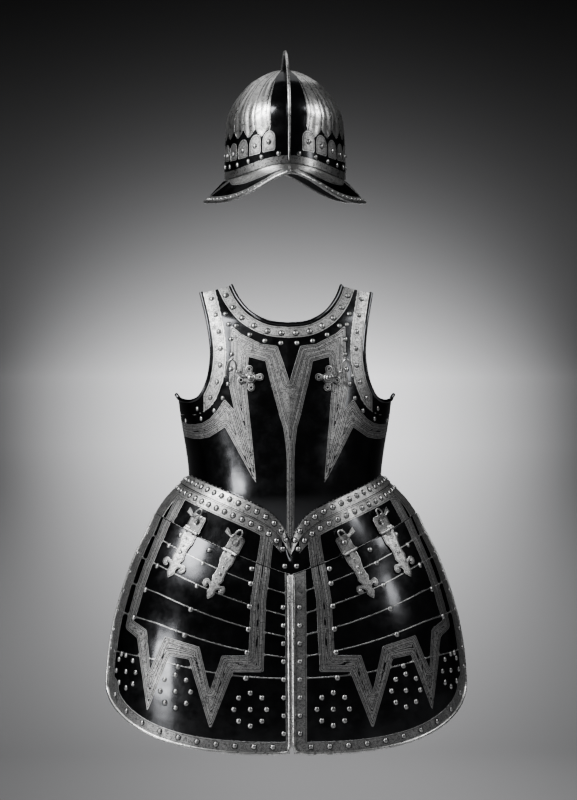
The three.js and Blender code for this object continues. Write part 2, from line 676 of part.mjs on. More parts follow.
function buildTassets() {
  const plate = tassetSolid();
  add('tasset_right', plate, blackSteel);
  add('tasset_left', mirrorX(plate), blackSteel);
  barrels.forEach((where) => {
    const pieces = buildHasp(where);
    Object.entries(pieces).forEach(([kind, solid]) => {
      const material = brightSteel;
      add(`hasp_${kind}_right_${where.name}`, solid, material);
      add(`hasp_${kind}_left_${where.name}`, mirrorX(solid), material);
    });
  });
}

// ---------- chest hooks ----------
const rosette = { x: 62, z: -147, lobe: 6.4, reach: 15.5, plate: 1.6, rivet: 2.4 };

function chestNormal(x, z) {
  const e = 0.5;
  const dx = chestPoint(x + e, z).sub(chestPoint(x - e, z));
  const dz = chestPoint(x, z + e).sub(chestPoint(x, z - e));
  return dx.cross(dz).normalize();
}

function buildRosette() {
  const centre = chestPoint(rosette.x, rosette.z);
  const out = chestNormal(rosette.x, rosette.z);
  const right = vec(1, 0, 0).addScaledVector(out, -out.x).normalize();
  const up = out.clone().cross(right);
  const spot = (a, b, h) => centre.clone().addScaledVector(right, a).addScaledVector(up, b).addScaledVector(out, h);
  const lobes = [[15.5, -2], [2, 15.5], [-15.5, 1], [-1, -15.5]];
  const disc = (a, b, r, low, high) => rod(spot(a, b, low), spot(a, b, high), r, r < 4 ? 8 : 12);
  const plate = union([
    disc(0, 0, 11.5, gap, gap + rosette.plate),
    ...lobes.map(([a, b]) => disc(a, b, rosette.lobe, gap, gap + rosette.plate)),
  ]);
  const holed = lobes.reduce((solid, [a, b]) => solid.subtract(disc(a, b, 2, -1, 5)), plate);
  const bore = disc(0, 0, rosette.rivet + gap, -3, 9);
  const base = gap + rosette.plate + gap;
  const ring = disc(0, 0, 7.4, base, base + 2.2);
  const path = [
    [6.6, 2.6, base + 2.3], [14, 6, base + 2.4], [20, 10, base + 3], [22.5, 15, base + 5], [22, 21, base + 9],
    [23, 26, base + 13], [27, 29, base + 15], [32, 26, base + 14], [36, 19, base + 11], [38.5, 11, base + 7.5],
    [40, 4, base + 6],
  ].map(([a, b, h]) => spot(a, b, h));
  const tip = tube([spot(39.8, 6.5, base + 6.4), spot(40.1, 2, base + 5.8)], 2.6, 8);
  const hook = union([ring, tube(path, (u) => 2 - 0.3 * u, 6), tip]).subtract(bore);
  const high = base + 2.2 + gap;
  const rivet = disc(0, 0, rosette.rivet, gap, high + 0.01).add(ringSolid([
    range(12, (j) => spot(5 * Math.cos(j * Math.PI / 6), 5 * Math.sin(j * Math.PI / 6), high)),
    range(12, (j) => spot(4.2 * Math.cos(j * Math.PI / 6), 4.2 * Math.sin(j * Math.PI / 6), high + 2)),
    range(12, (j) => spot(1.6 * Math.cos(j * Math.PI / 6), 1.6 * Math.sin(j * Math.PI / 6), high + 3.4)),
  ]));
  const solids = { rosette: holed.subtract(bore), swivel_hook: hook, rosette_rivet: rivet };
  Object.entries(solids).forEach(([kind, solid]) => {
    add(`${kind}_right`, solid, brightSteel);
    add(`${kind}_left`, mirrorX(solid), brightSteel);
  });
}

buildHelmet();
buildBody();
buildTassets();
buildRosette();

export default group;
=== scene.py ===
import json
import math
import bmesh
import bpy
import numpy as np
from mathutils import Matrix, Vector
from mathutils.geometry import delaunay_2d_cdt

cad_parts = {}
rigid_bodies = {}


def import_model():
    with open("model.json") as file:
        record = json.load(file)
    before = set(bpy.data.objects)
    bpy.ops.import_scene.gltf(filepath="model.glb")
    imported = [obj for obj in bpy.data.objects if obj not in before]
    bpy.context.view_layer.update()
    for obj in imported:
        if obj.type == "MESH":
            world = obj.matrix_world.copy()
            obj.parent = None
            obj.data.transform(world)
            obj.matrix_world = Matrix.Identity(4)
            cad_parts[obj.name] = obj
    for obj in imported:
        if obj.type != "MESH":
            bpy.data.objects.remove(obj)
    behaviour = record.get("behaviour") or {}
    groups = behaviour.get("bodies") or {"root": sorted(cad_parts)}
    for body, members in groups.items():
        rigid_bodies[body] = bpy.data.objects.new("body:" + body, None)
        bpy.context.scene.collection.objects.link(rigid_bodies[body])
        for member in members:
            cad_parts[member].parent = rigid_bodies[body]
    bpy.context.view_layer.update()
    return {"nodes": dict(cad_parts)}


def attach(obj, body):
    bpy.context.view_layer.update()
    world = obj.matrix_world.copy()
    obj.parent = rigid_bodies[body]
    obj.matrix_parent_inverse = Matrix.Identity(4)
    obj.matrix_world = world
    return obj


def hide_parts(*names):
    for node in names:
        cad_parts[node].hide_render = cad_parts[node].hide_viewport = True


for old in list(bpy.data.objects):
    bpy.data.objects.remove(old)
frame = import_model()
mm = 0.001  # every form below is worked out in millimetres

# Breastplate: height, half width, depth forward of the side edges, ridge.
chestForm = [(-415, 156, 150, 10), (-380, 156, 160, 10), (-330, 157, 168, 9), (-280, 161, 165, 7.5),
             (-200, 173.5, 150, 5.5), (-120, 181, 128, 4), (-55, 184, 100, 3), (-20, 185, 72, 3), (20, 186, 37, 3)]
# Skirt and tassets: height, half width, depth.
skirtForm = [(-745, 294, 210), (-680, 293.5, 208), (-643, 293, 206), (-594, 289.5, 202), (-544, 281.3, 196.5),
             (-511, 273, 191), (-478, 262.7, 183), (-445, 250.7, 169.5), (-421, 240, 158), (-396, 227, 145),
             (-360, 211, 125)]
chestCurve = {"roundness": 2.3, "ridgeWidth": 30}
skirtCurve = {"roundness": 3, "edge": 0.975, "reach": 0.86}
waist = {"side": -305, "slope": 0.42, "half": 158, "dip": 42, "dipWidth": 15}
joint = {"side": -366, "slope": 0.45, "half": 213, "sag": 7}
hem = {"low": -743, "rise": 100, "half": 293, "roundness": 2.8}


def hermite(rows, column):
    heights = np.array([r[0] for r in rows], float)
    values = np.array([r[column] for r in rows], float)
    last = len(rows) - 1
    before = np.maximum(np.arange(last + 1) - 1, 0)
    after = np.minimum(np.arange(last + 1) + 1, last)
    slopes = (values[after] - values[before]) / (heights[after] - heights[before])

    def at(height):
        h = np.clip(height, heights[0], heights[-1])
        i = np.clip(np.searchsorted(heights, h) - 1, 0, last - 1)
        step = heights[i + 1] - heights[i]
        t = (h - heights[i]) / step
        return ((2 * t**3 - 3 * t**2 + 1) * values[i] + (t**3 - 2 * t**2 + t) * step * slopes[i]
                + (3 * t**2 - 2 * t**3) * values[i + 1] + (t**3 - t**2) * step * slopes[i + 1])
    return at


def smoothLine(points, u):
    p = np.asarray(points, float)
    n = len(p)
    k = np.clip(np.asarray(u, float), 0, 1) * (n - 1)
    i = np.minimum(k.astype(int), n - 1)
    w = (k - i)[..., None]
    p0, p1 = p[np.maximum(i - 1, 0)], p[i]
    p2, p3 = p[np.minimum(i + 1, n - 1)], p[np.minimum(i + 2, n - 1)]
    a, b = (p2 - p0) / 2, (p3 - p1) / 2
    return (2 * p1 - 2 * p2 + a + b) * w**3 + (-3 * p1 + 3 * p2 - 2 * a - b) * w**2 + a * w + p1


def xyz(x, y, z):
    return np.stack(np.broadcast_arrays(*(np.asarray(part, float) for part in (x, y, z))), -1)


def unit(v):
    return v / np.maximum(np.linalg.norm(v, axis=-1, keepdims=True), 1e-9)


def forwards(normals):
    return np.where(normals[..., 1:2] > 0, -normals, normals)


def runAlong(grid):
    steps = np.linalg.norm(np.diff(grid, axis=1), axis=-1)
    return np.concatenate([np.zeros((len(grid), 1)), np.cumsum(steps, axis=1)], 1)


def normalAt(point, x, z):
    half = 0.5
    across, up = point(x + half, z) - point(x - half, z), point(x, z + half) - point(x, z - half)
    return unit(np.cross(across, up))


def settle(start, step):
    z = start
    for _ in range(40):
        z = 0.5 * z + 0.5 * step(z)
    return z


chestHalf, chestDepth, chestRidge = (hermite(chestForm, c) for c in (1, 2, 3))
skirtHalf, skirtDepth = (hermite(skirtForm, c) for c in (1, 2))


def chestPoint(x, z):
    half = chestHalf(z)
    r = np.minimum(np.abs(x) / half, 1)
    y = -chestDepth(z) * np.sqrt(1 - r ** chestCurve["roundness"])
    y = y - chestRidge(z) * np.exp(-np.abs(x) / chestCurve["ridgeWidth"])
    return xyz(np.sign(x) * np.minimum(np.abs(x), half), y, z)


def chestAt(s, z):
    return chestPoint(chestHalf(z) * np.sin(np.pi * s / 2), z)


def chestNormal(x, z):
    return normalAt(chestPoint, x, z)


def waistHeight(x):
    a = np.abs(x)
    return waist["side"] - waist["slope"] * (waist["half"] - a) - waist["dip"] * np.exp(-a / waist["dipWidth"])


def jointHeight(x):
    a = np.abs(x)
    sag = joint["sag"] * np.sin(np.pi * np.minimum(a, joint["half"]) / joint["half"])
    return joint["side"] - joint["slope"] * (joint["half"] - a) - sag


def hemHeight(x):
    share = np.minimum(np.abs(x), hem["half"]) / hem["half"]
    return hem["low"] + hem["rise"] * (1 - np.sqrt(np.maximum(0, 1 - share ** hem["roundness"])))


def skirtPoint(x, z):
    r = np.minimum(np.abs(x) / (skirtHalf(z) / skirtCurve["edge"]), 1)
    return xyz(x, -skirtDepth(z) * np.sqrt(1 - r ** skirtCurve["roundness"]), z)


def skirtNormal(x, z):
    return normalAt(skirtPoint, x, z)


def waistPoint(s):
    s = np.asarray(s, float)
    height = settle(np.full(s.shape, -340.), lambda h: waistHeight(chestHalf(h) * np.sin(np.pi * s / 2)))
    return chestAt(s, height)


def jointPoint(s):
    s = np.asarray(s, float)
    turn = np.sin(np.pi * s * skirtCurve["reach"] / 2)
    width = lambda h: skirtHalf(h) / skirtCurve["edge"] * turn
    z = settle(np.full(s.shape, -400.), lambda h: jointHeight(width(h)))
    return skirtPoint(width(z), z) + 2 * skirtNormal(width(z), z)


def fauldPoint(s, t):
    # skirt lame: s runs across it, t from the waist to the joint with the tassets
    a, b = waistPoint(s), jointPoint(s)
    m = a + (b - a) * np.array([0.65, 0.65, 0.4])
    t = np.asarray(t, float)[..., None]
    return a * (1 - t) ** 2 + m * 2 * t * (1 - t) + b * t**2


def fauldShare(s, distance):
    shares = np.linspace(0, 1, 61)
    run = runAlong(fauldPoint(*np.meshgrid(s, shares, indexing="ij")))
    return np.array([np.interp(distance, r, shares) for r in run])


def fauldNormal(s, t):
    lo, hi = np.maximum(s - .01, -1), np.minimum(s + .01, 1)
    ds = fauldPoint(hi, t) - fauldPoint(lo, t)
    dt = fauldPoint(s, np.minimum(t + .01, 1)) - fauldPoint(s, np.maximum(t - .01, 0))
    return unit(np.cross(dt, ds))


def fauldSpot(x, z):
    # spot of the skirt lame that is at (x, z) from the front, and its outward direction
    x, z = np.asarray(x, float), np.asarray(z, float)
    s, t = x / 190, np.full(x.shape, 0.5)
    step, ease = .004, 0.8
    for _ in range(30):
        p = fauldPoint(s, t)
        ps = (fauldPoint(s + step, t) - p) / step
        pt = (fauldPoint(s, t + step) - p) / step
        det = ps[..., 0] * pt[..., 2] - ps[..., 2] * pt[..., 0]
        rx, rz = x - p[..., 0], z - p[..., 2]
        s = np.clip(s + ease * (rx * pt[..., 2] - rz * pt[..., 0]) / det, -.99, .99)
        t = np.clip(t + ease * (ps[..., 0] * rz - ps[..., 2] * rx) / det, 0, 1)
    return fauldPoint(s, t), forwards(fauldNormal(s, t))


def distanceToLine(points, line):
    p = points[:, None, :]
    a, b = np.asarray(line[:-1], float)[None], np.asarray(line[1:], float)[None]
    ab = b - a
    t = np.clip(((p - a) * ab).sum(-1) / np.maximum((ab**2).sum(-1), 1e-9), 0, 1)
    return np.linalg.norm(p - a - ab * t[..., None], axis=-1).min(1)


def insideOf(points, outline):
    x, z = points[:, 0, None], points[:, 1, None]
    a = np.asarray(outline, float)[None]
    b = np.roll(a, -1, 1)
    crosses = (a[..., 1] > z) != (b[..., 1] > z)
    with np.errstate(divide="ignore", invalid="ignore"):
        at = a[..., 0] + (z - a[..., 1]) / (b[..., 1] - a[..., 1]) * (b[..., 0] - a[..., 0])
    return (crosses & (x < at)).sum(1) % 2 == 1


def signedDistance(points, outline):
    # positive inside the outline
    d = distanceToLine(points, list(outline) + [outline[0]])
    return np.where(insideOf(points, outline), d, -d)


def makePiece(name, verts, faces, values, material, body, slot, replaced=None):
    mesh = bpy.data.meshes.new(name)
    mesh.from_pydata((np.asarray(verts, float) * mm).tolist(), [], [list(map(int, f)) for f in faces])
    for key, array in values.items():
        attribute = mesh.attributes.new(key, "FLOAT", "POINT")
        attribute.data.foreach_set("value", np.asarray(array, np.float32))
    mesh.materials.append(material)
    mesh.validate()
    mesh.shade_smooth()
    mesh.set_sharp_from_angle(angle=math.radians(35))
    piece = bpy.data.objects.new(name, mesh)
    bpy.context.scene.collection.objects.link(piece)
    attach(piece, body)
    if replaced:
        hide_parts(replaced)
    print("made", name, len(mesh.vertices), "vertices")
    return piece


def recalculate(piece):
    bm = bmesh.new()
    bm.from_mesh(piece.data)
    bmesh.ops.recalc_face_normals(bm, faces=bm.faces)
    bm.to_mesh(piece.data)
    bm.free()


def gridFaces(nu, nv, closed=False):
    faces = []
    for i in range(nu if closed else nu - 1):
        k = (i + 1) % nu
        for j in range(nv - 1):
            faces.append((i * nv + j, k * nv + j, k * nv + j + 1, i * nv + j + 1))
    return faces


def loopOf(face):
    return zip(face, face[1:] + face[:1])


def thicken(verts, faces, normals, depth):
    # gives an open surface an inner wall and a rim; depth may differ from point to point
    verts, n = np.asarray(verts, float), len(verts)
    inner = verts - normals * np.broadcast_to(np.asarray(depth, float), (n,))[:, None]
    edges = {edge: True for f in faces for edge in loopOf(f)}
    out = [tuple(f) for f in faces] + [tuple(i + n for i in reversed(f)) for f in faces]
    out += [(b, a, a + n, b + n) for a, b in edges if (b, a) not in edges]
    return np.concatenate([verts, inner]), out


def tubeMesh(path, radius, sides, closed=False):
    path = np.asarray(path, float)
    n = len(path)
    along = unit(np.roll(path, -1, 0) - np.roll(path, 1, 0) if closed else np.gradient(path, axis=0))
    radius = np.broadcast_to(np.asarray(radius, float), (n,))
    side = np.array([0, 0, 1.]) if abs(along[0][2]) < 0.8 else np.array([1., 0, 0])
    turn = 2 * np.pi * np.arange(sides) / sides
    verts, faces = [], []
    for p, t, r in zip(path, along, radius):
        side = side - t * side.dot(t)
        side = side / np.linalg.norm(side)
        other = np.cross(t, side)
        verts.append(p + r * (np.cos(turn)[:, None] * side + np.sin(turn)[:, None] * other))
    for i in range(n if closed else n - 1):
        k = (i + 1) % n
        for j in range(sides):
            m = (j + 1) % sides
            faces.append((i * sides + j, i * sides + m, k * sides + m, k * sides + j))
    if not closed:
        faces.append(tuple(reversed(range(sides))))
        faces.append(tuple((n - 1) * sides + j for j in range(sides)))
    return np.concatenate(verts), faces


def joined(parts):
    verts, faces, start = [], [], 0
    for v, f in parts:
        verts.append(np.asarray(v, float))
        faces += [tuple(i + start for i in face) for face in f]
        start += len(v)
    return np.concatenate(verts), faces


def assemble(parts):
    # parts: verts, faces, values
    verts, faces = joined([part[:2] for part in parts])
    return verts, faces, {key: np.concatenate([part[2][key] for part in parts]) for key in parts[0][2]}


def mirrored(verts, faces):
    return verts * np.array([-1, 1, 1]), [tuple(reversed(f)) for f in faces]


def sided(side, verts, faces):
    # forms are worked out on the +X side, which is called right
    return (verts, faces) if side == "right" else mirrored(verts, faces)


def weld(verts, faces):
    limit, keys, index, used = 0.05, {}, [], []
    for i, p in enumerate(np.round(np.asarray(verts) / limit).astype(int).tolist()):
        key = tuple(p)
        if key not in keys:
            keys[key] = len(used)
            used.append(i)
        index.append(keys[key])
    merged = [tuple(dict.fromkeys(index[i] for i in f)) for f in faces]
    return np.asarray(verts)[used], [f for f in merged if len(f) > 2]


def facingOut(verts, faces, towards):
    normals = np.zeros_like(verts)
    for f in faces:
        p = verts[list(f)]
        n = np.zeros(3)
        for k in range(1, len(f) - 1):
            n += np.cross(p[k] - p[0], p[k + 1] - p[0])
        for i in f:
            normals[i] += n
    normals = unit(normals)
    if (normals * towards).sum() < 0:
        return [tuple(reversed(f)) for f in faces], -normals
    return faces, normals


def consistent(faces):
    # turns faces so that neighbours agree
    byEdge = {}
    for k, f in enumerate(faces):
        for a, b in loopOf(f):
            byEdge.setdefault((min(a, b), max(a, b)), []).append((k, (a, b)))
    flip, queue = {0: False}, [0]
    while queue:
        k = queue.pop()
        for a, b in loopOf(faces[k]):
            for other, way in byEdge[(min(a, b), max(a, b))]:
                if other not in flip:
                    flip[other] = flip[k] if way == (b, a) else not flip[k]
                    queue.append(other)
    return [tuple(reversed(f)) if flip.get(k) else f for k, f in enumerate(faces)]


def fillOutline(outline, hole, step):
    # fine even mesh inside an outline, with an optional hole
    outline = np.asarray(outline, float)
    low, high = outline.min(0), outline.max(0)
    rowStep, clear = step * 0.866, step * 0.55
    inside = []
    for k, z in enumerate(np.arange(low[1], high[1], rowStep)):
        x = np.arange(low[0] + step * (0.5 if k % 2 else 1.0), high[0], step)
        inside.append(np.stack([x, np.full(len(x), z)], 1))
    inside = np.concatenate(inside)
    inside = inside[insideOf(inside, outline)]
    inside = inside[distanceToLine(inside, np.concatenate([outline, outline[:1]])) > clear]
    n = len(outline)
    edges = [(i, (i + 1) % n) for i in range(n)]
    points = outline
    if hole is not None:
        hole = np.asarray(hole, float)
        inside = inside[~insideOf(inside, hole)]
        inside = inside[distanceToLine(inside, np.concatenate([hole, hole[:1]])) > clear]
        edges += [(n + i, n + (i + 1) % len(hole)) for i in range(len(hole))]
        points = np.concatenate([outline, hole])
    points = np.concatenate([points, inside])
    made = delaunay_2d_cdt([Vector(p) for p in points.tolist()], edges, [], 1, 1e-5)
    verts = np.array([tuple(v) for v in made[0]])
    faces = [tuple(f) for f in made[2]]
    if hole is not None:
        middles = np.array([verts[list(f)].mean(0) for f in faces])
        faces = [f for f, out in zip(faces, ~insideOf(middles, hole)) if out]
    return verts, faces


def spacedAlong(line, spacing):
    line = np.asarray(line, float)
    run = np.concatenate([[0], np.cumsum(np.linalg.norm(np.diff(line, axis=0), axis=-1))])
    count = max(1, int(round(run[-1] / spacing)))
    at = (np.arange(count) + 0.5) * run[-1] / count
    return np.stack([np.interp(at, run, line[:, k]) for k in range(line.shape[1])], 1)


def offsetLine(line, distance, away):
    # line moved sideways, away from a given spot
    line = np.asarray(line, float)
    along = unit(np.gradient(line, axis=0))
    normal = np.stack([along[:, 1], -along[:, 0]], 1)
    if ((line - np.asarray(away)) * normal).sum() < 0:
        normal = -normal
    return line + normal * distance


finish = {"blackColour": (0.043, 0.044, 0.046, 1), "blackSheen": (0.054, 0.055, 0.058, 1),
          "blackEdge": (0.55, 0.55, 0.55, 1), "blackRoughness": (0.13, 0.24),
          "brightColour": (0.66, 0.66, 0.65, 1), "wornColour": (0.085, 0.085, 0.087, 1),
          "brightRoughness": (0.24, 0.42), "punchedRoughness": 0.13,
          # grime colour, also used as painted shade on the rivet collars
          "grimeAndShadeColour": (0.012, 0.012, 0.013, 1), "punchSpacing": 2.3, "relief": 0.45}


def setSocket(tree, socket, value):
    if isinstance(value, bpy.types.NodeSocket):
        tree.links.new(value, socket)
    else:
        socket.default_value = value


def nodeMaker(tree):
    def node(kind, inputs=None, **settings):
        made = tree.nodes.new(kind)
        for key, value in settings.items():
            setattr(made, key, value)
        for key, value in (inputs or {}).items():
            setSocket(tree, made.inputs[key], value)
        return made
    return node


def blendColours(tree, share, first, second):
    mix = tree.nodes.new("ShaderNodeMix")
    mix.data_type = "RGBA"
    colours = [socket for socket in mix.inputs if socket.type == "RGBA"]
    for socket, value in zip([mix.inputs[0]] + colours, (share, first, second)):
        setSocket(tree, socket, value)
    return [socket for socket in mix.outputs if socket.type == "RGBA"][0]


def calculate(tree, operation, a, b=0.0, c=0.0, clamp=False):
    node = tree.nodes.new("ShaderNodeMath")
    node.operation = operation
    node.use_clamp = clamp
    for socket, value in zip(node.inputs, (a, b, c)):
        setSocket(tree, socket, value)
    return node.outputs[0]


def fade(tree, value, low, high, start=0.0, end=1.0):
    inputs = {"Value": value, "From Min": low, "From Max": high, "To Min": start, "To Max": end}
    return nodeMaker(tree)("ShaderNodeMapRange", inputs, interpolation_type="SMOOTHSTEP").outputs[0]


def makeEtching():
    # masks and relief of a plate that is part polished and punched, part blackened
    group = bpy.data.node_groups.new("etching", "ShaderNodeTree")
    for name in ("Inset", "Punched", "Lined"):
        group.interface.new_socket(name, in_out="INPUT", socket_type="NodeSocketFloat")
    group.interface.new_socket("Place", in_out="INPUT", socket_type="NodeSocketVector")
    for name in ("Bright", "Dirt", "Patch", "Height", "Fine", "Cloud"):
        group.interface.new_socket(name, in_out="OUTPUT", socket_type="NodeSocketFloat")
    node = nodeMaker(group)
    given = node("NodeGroupInput").outputs
    inset, punched, lined = given["Inset"], given["Punched"], given["Lined"]
    maths = lambda operation: lambda a, b: calculate(group, operation, a, b)
    times, most, above, below = (maths(key) for key in ("MULTIPLY", "MAXIMUM", "GREATER_THAN", "LESS_THAN"))
    minus, plus = maths("SUBTRACT"), maths("ADD")

    def noise(scale, detail, roughness=0.5):
        inputs = {"Vector": given["Place"], "Scale": scale, "Detail": detail, "Roughness": roughness}
        return node("ShaderNodeTexNoise", inputs).outputs["Fac"]
    bright = fade(group, inset, -0.15, 0.15)
    # zones across a band, from its outline inward: red for grooves, green for punched ground
    width = 14.0
    zones = [(1.1, 1, 0), (2.0, 0, 0), (3.3, 1, 0), (4.2, 0, 1), (8.0, 1, 0), (8.9, 0, 0), (10.2, 1, 0)]
    ramp = node("ShaderNodeValToRGB", {"Fac": calculate(group, "DIVIDE", inset, width)})
    ramp.color_ramp.interpolation = "CONSTANT"
    stops = ramp.color_ramp.elements
    stops[0].position, stops[0].color = 0, (0, 0, 0, 1)
    stops[1].position, stops[1].color = 11.0 / width, (0, 1, 0, 1)
    for start, groove, ground in zones:
        stops.new(start / width).color = (groove, ground, 0, 1)
    zone = node("ShaderNodeSeparateColor", {"Color": ramp.outputs["Color"]}).outputs
    plainBorder = times(minus(1.0, lined), above(punched, 0.05))
    borderGroove = times(times(above(inset, 1.5), below(inset, 2.4)), plainBorder)
    groove = most(times(zone[0], lined), times(borderGroove, 0.85))
    spots = {"Vector": given["Place"], "Scale": 1000 / finish["punchSpacing"], "Randomness": 0.9}
    dots = node("ShaderNodeTexVoronoi", spots).outputs["Distance"]
    grain, patch = noise(330.0, 3.0, 0.7), noise(34.0, 5.0, 0.65)
    fine, slow = noise(150.0, 5.0, 0.7), noise(11.0, 3.0)
    ground = most(times(zone[1], lined), times(plainBorder, fade(group, inset, 2.4, 2.9)))
    pits = times(times(fade(group, dots, 0.42, 0.20), punched), ground)
    stain = times(times(fade(group, fine, 0.50, 0.62), fade(group, patch, 0.36, 0.58)), 0.75)
    specks = times(fade(group, grain, 0.50, 0.64), times(ground, 0.7))
    outline = times(fade(group, inset, 0.35, -0.4), bright)
    dirt = most(most(most(groove, times(pits, 0.9)), most(specks, stain)), outline)
    height = minus(minus(times(bright, 0.5), times(groove, 0.5)), times(pits, 0.4))
    height = plus(plus(height, times(times(grain, bright), 0.25)), times(slow, 2.4))
    out = node("NodeGroupOutput")
    made = {"Bright": bright, "Dirt": dirt, "Patch": patch, "Height": height, "Fine": fine, "Cloud": slow}
    for key, value in made.items():
        group.links.new(value, out.inputs[key])
    return group


etching = makeEtching()


def plateMaterial(name, wholeTone=None, ring=False):
    # a tone makes the whole piece polished; without one, values on the mesh say where it is
    material = bpy.data.materials.new(name)
    material.use_nodes = True
    tree = material.node_tree
    tree.nodes.clear()
    node = nodeMaker(tree)
    valueOf = lambda key: node("ShaderNodeAttribute", attribute_name=key).outputs["Fac"]
    etch = node("ShaderNodeGroup", node_tree=etching)
    tree.links.new(node("ShaderNodeTexCoord").outputs["Object"], etch.inputs["Place"])
    if wholeTone:
        for key, value in (("Inset", 3.0), ("Punched", 0.0), ("Lined", 0.0)):
            etch.inputs[key].default_value = value
        tone, ground = wholeTone, 0.0
    else:
        for key, attribute in (("Inset", "bright"), ("Punched", "punched"), ("Lined", "lined")):
            tree.links.new(valueOf(attribute), etch.inputs[key])
        tone, ground = valueOf("tone"), valueOf("punched")
    made = etch.outputs
    patch = fade(tree, made["Patch"], 0.34, 0.66)
    worn = calculate(tree, "MULTIPLY", calculate(tree, "MULTIPLY_ADD", patch, 0.5, 0.5), tone, clamp=True)
    steel = blendColours(tree, worn, finish["wornColour"], finish["brightColour"])
    steel = blendColours(tree, made["Dirt"], steel, finish["grimeAndShadeColour"])
    # the rivet collars are darkened: painted shade round each rivet's foot, with grime
    if ring:
        steel = blendColours(tree, valueOf("ring"), steel, finish["grimeAndShadeColour"])
    cloud = fade(tree, made["Cloud"], 0.40, 0.60)
    black = blendColours(tree, cloud, finish["blackColour"], finish["blackSheen"])
    blackRough = fade(tree, made["Patch"], 0.3, 0.7, *finish["blackRoughness"])
    brightRough = fade(tree, made["Fine"], 0.3, 0.75, *finish["brightRoughness"])
    brightRough = calculate(tree, "MULTIPLY_ADD", ground, finish["punchedRoughness"], brightRough)
    bump = {"Height": made["Height"], "Strength": 0.9, "Distance": finish["relief"] * mm}
    shader = node("ShaderNodeBsdfPrincipled", {
        "Metallic": 1.0, "Base Color": blendColours(tree, made["Bright"], black, steel),
        "Roughness": node("ShaderNodeMix", {0: made["Bright"], 2: blackRough, 3: brightRough}).outputs[0],
        "Normal": node("ShaderNodeBump", bump).outputs[0],
        "Specular Tint": blendColours(tree, made["Bright"], finish["blackEdge"], (1, 1, 1, 1))})
    tree.links.new(shader.outputs[0], node("ShaderNodeOutputMaterial").inputs[0])
    return material


plateSteel = plateMaterial("etchedPlate")
brightSteel = plateMaterial("polishedSteel", wholeTone=0.8)
# ring=True darkens the rivet collars as painted shade with grime
rivetSteel = plateMaterial("rivetSteel", wholeTone=0.6, ring=True)
fittingSteel = plateMaterial("fittingSteel")


def etched(outside, count, bright=-5.0, punched=0.0, lined=0.0, tone=0.5):
    # values for the outer face, plain black for the inner one
    rows = {"bright": (bright, -5.0), "punched": (punched, 0.0), "lined": (lined, 0.0), "tone": (tone, 0.5)}
    spread = lambda own: np.broadcast_to(np.asarray(own, float), (outside,))
    return {key: np.append(spread(own), np.full(count - outside, plain)) for key, (own, plain) in rows.items()}


def polished(part, tone=0.7):
    verts, faces = part
    return verts, faces, etched(len(verts), len(verts), bright=6.0, tone=tone)


tassetBodies = ("tasset_right_body", "tasset_left_body")
rivets = {body: [] for body in ("armour",) + tassetBodies}


def addRivets(body, points, normals, radius):
    for p, n in zip(np.atleast_2d(points), np.atleast_2d(normals)):
        rivets[body].append((p, n, radius))


def addBoth(bodies, points, normals, radius):
    for body, sign in zip(bodies, (1, -1)):
        addRivets(body, points * np.array([sign, 1, 1]), normals * np.array([sign, 1, 1]), radius)


breast = {"plate": 2.0, "flange": 20.0, "flangePlate": 1.5, "spacing": 3.0, "roll": 3.2, "spread": 270,
          "neckBand": (4.5, 22.0), "armBand": (3.0, 22.5), "shoulderSlope": 0.255, "shoulderX": 60}
neckLine = [(0, -59), (32.5, -55), (61, -39.5), (80, -16.5), (90.5, 6)]
armLine = [(139.5, -6), (131, -45), (125.8, -77.5), (123.9, -107.4), (127.4, -138.3), (134.7, -162),
           (145, -178), (158.8, -183.5), (171, -181.5), (177, -177.5)]
bandUpper = [(5.8, -405), (5.8, -280), (7.4, -254), (10.8, -227), (17.2, -205.6), (24, -178), (31, -152),
             (36.5, -128), (38, -119), (46, -117), (60, -113), (65, -112), (67, -135), (69, -160),
             (64.6, -206), (61.2, -240), (54, -318), (76.6, -240), (88.7, -198), (97, -157), (93, -113),
             (93, -60), (77, -74), (44, -91), (18.5, -94), (9, -123), (0, -152)]
bandLower = [(54, -318), (76.6, -240), (88.7, -198), (104, -180), (115.4, -198), (127.8, -212),
             (139.5, -219), (150, -221), (161.6, -221), (180, -212), (180, -237), (159, -243),
             (152, -244.5), (142.3, -244.4), (127.8, -241.3), (114.7, -232.7), (103.5, -225),
             (102, -228), (95.5, -240)]
# rows of rivets: distance from the edge, spacing, radius
rivetRows = {"neck": ((15.0, 23.0, 4.3), (31.5, 26.5, 4.0)), "arm": ((14.5, 27.0, 3.6), (32.0, 25.0, 3.6)),
             "fauld": ((9.5, 16.8, 4.2), (31.0, 16.6, 4.2))}


def shoulderHeight(x, end):
    return end - breast["shoulderSlope"] * (x - breast["shoulderX"])


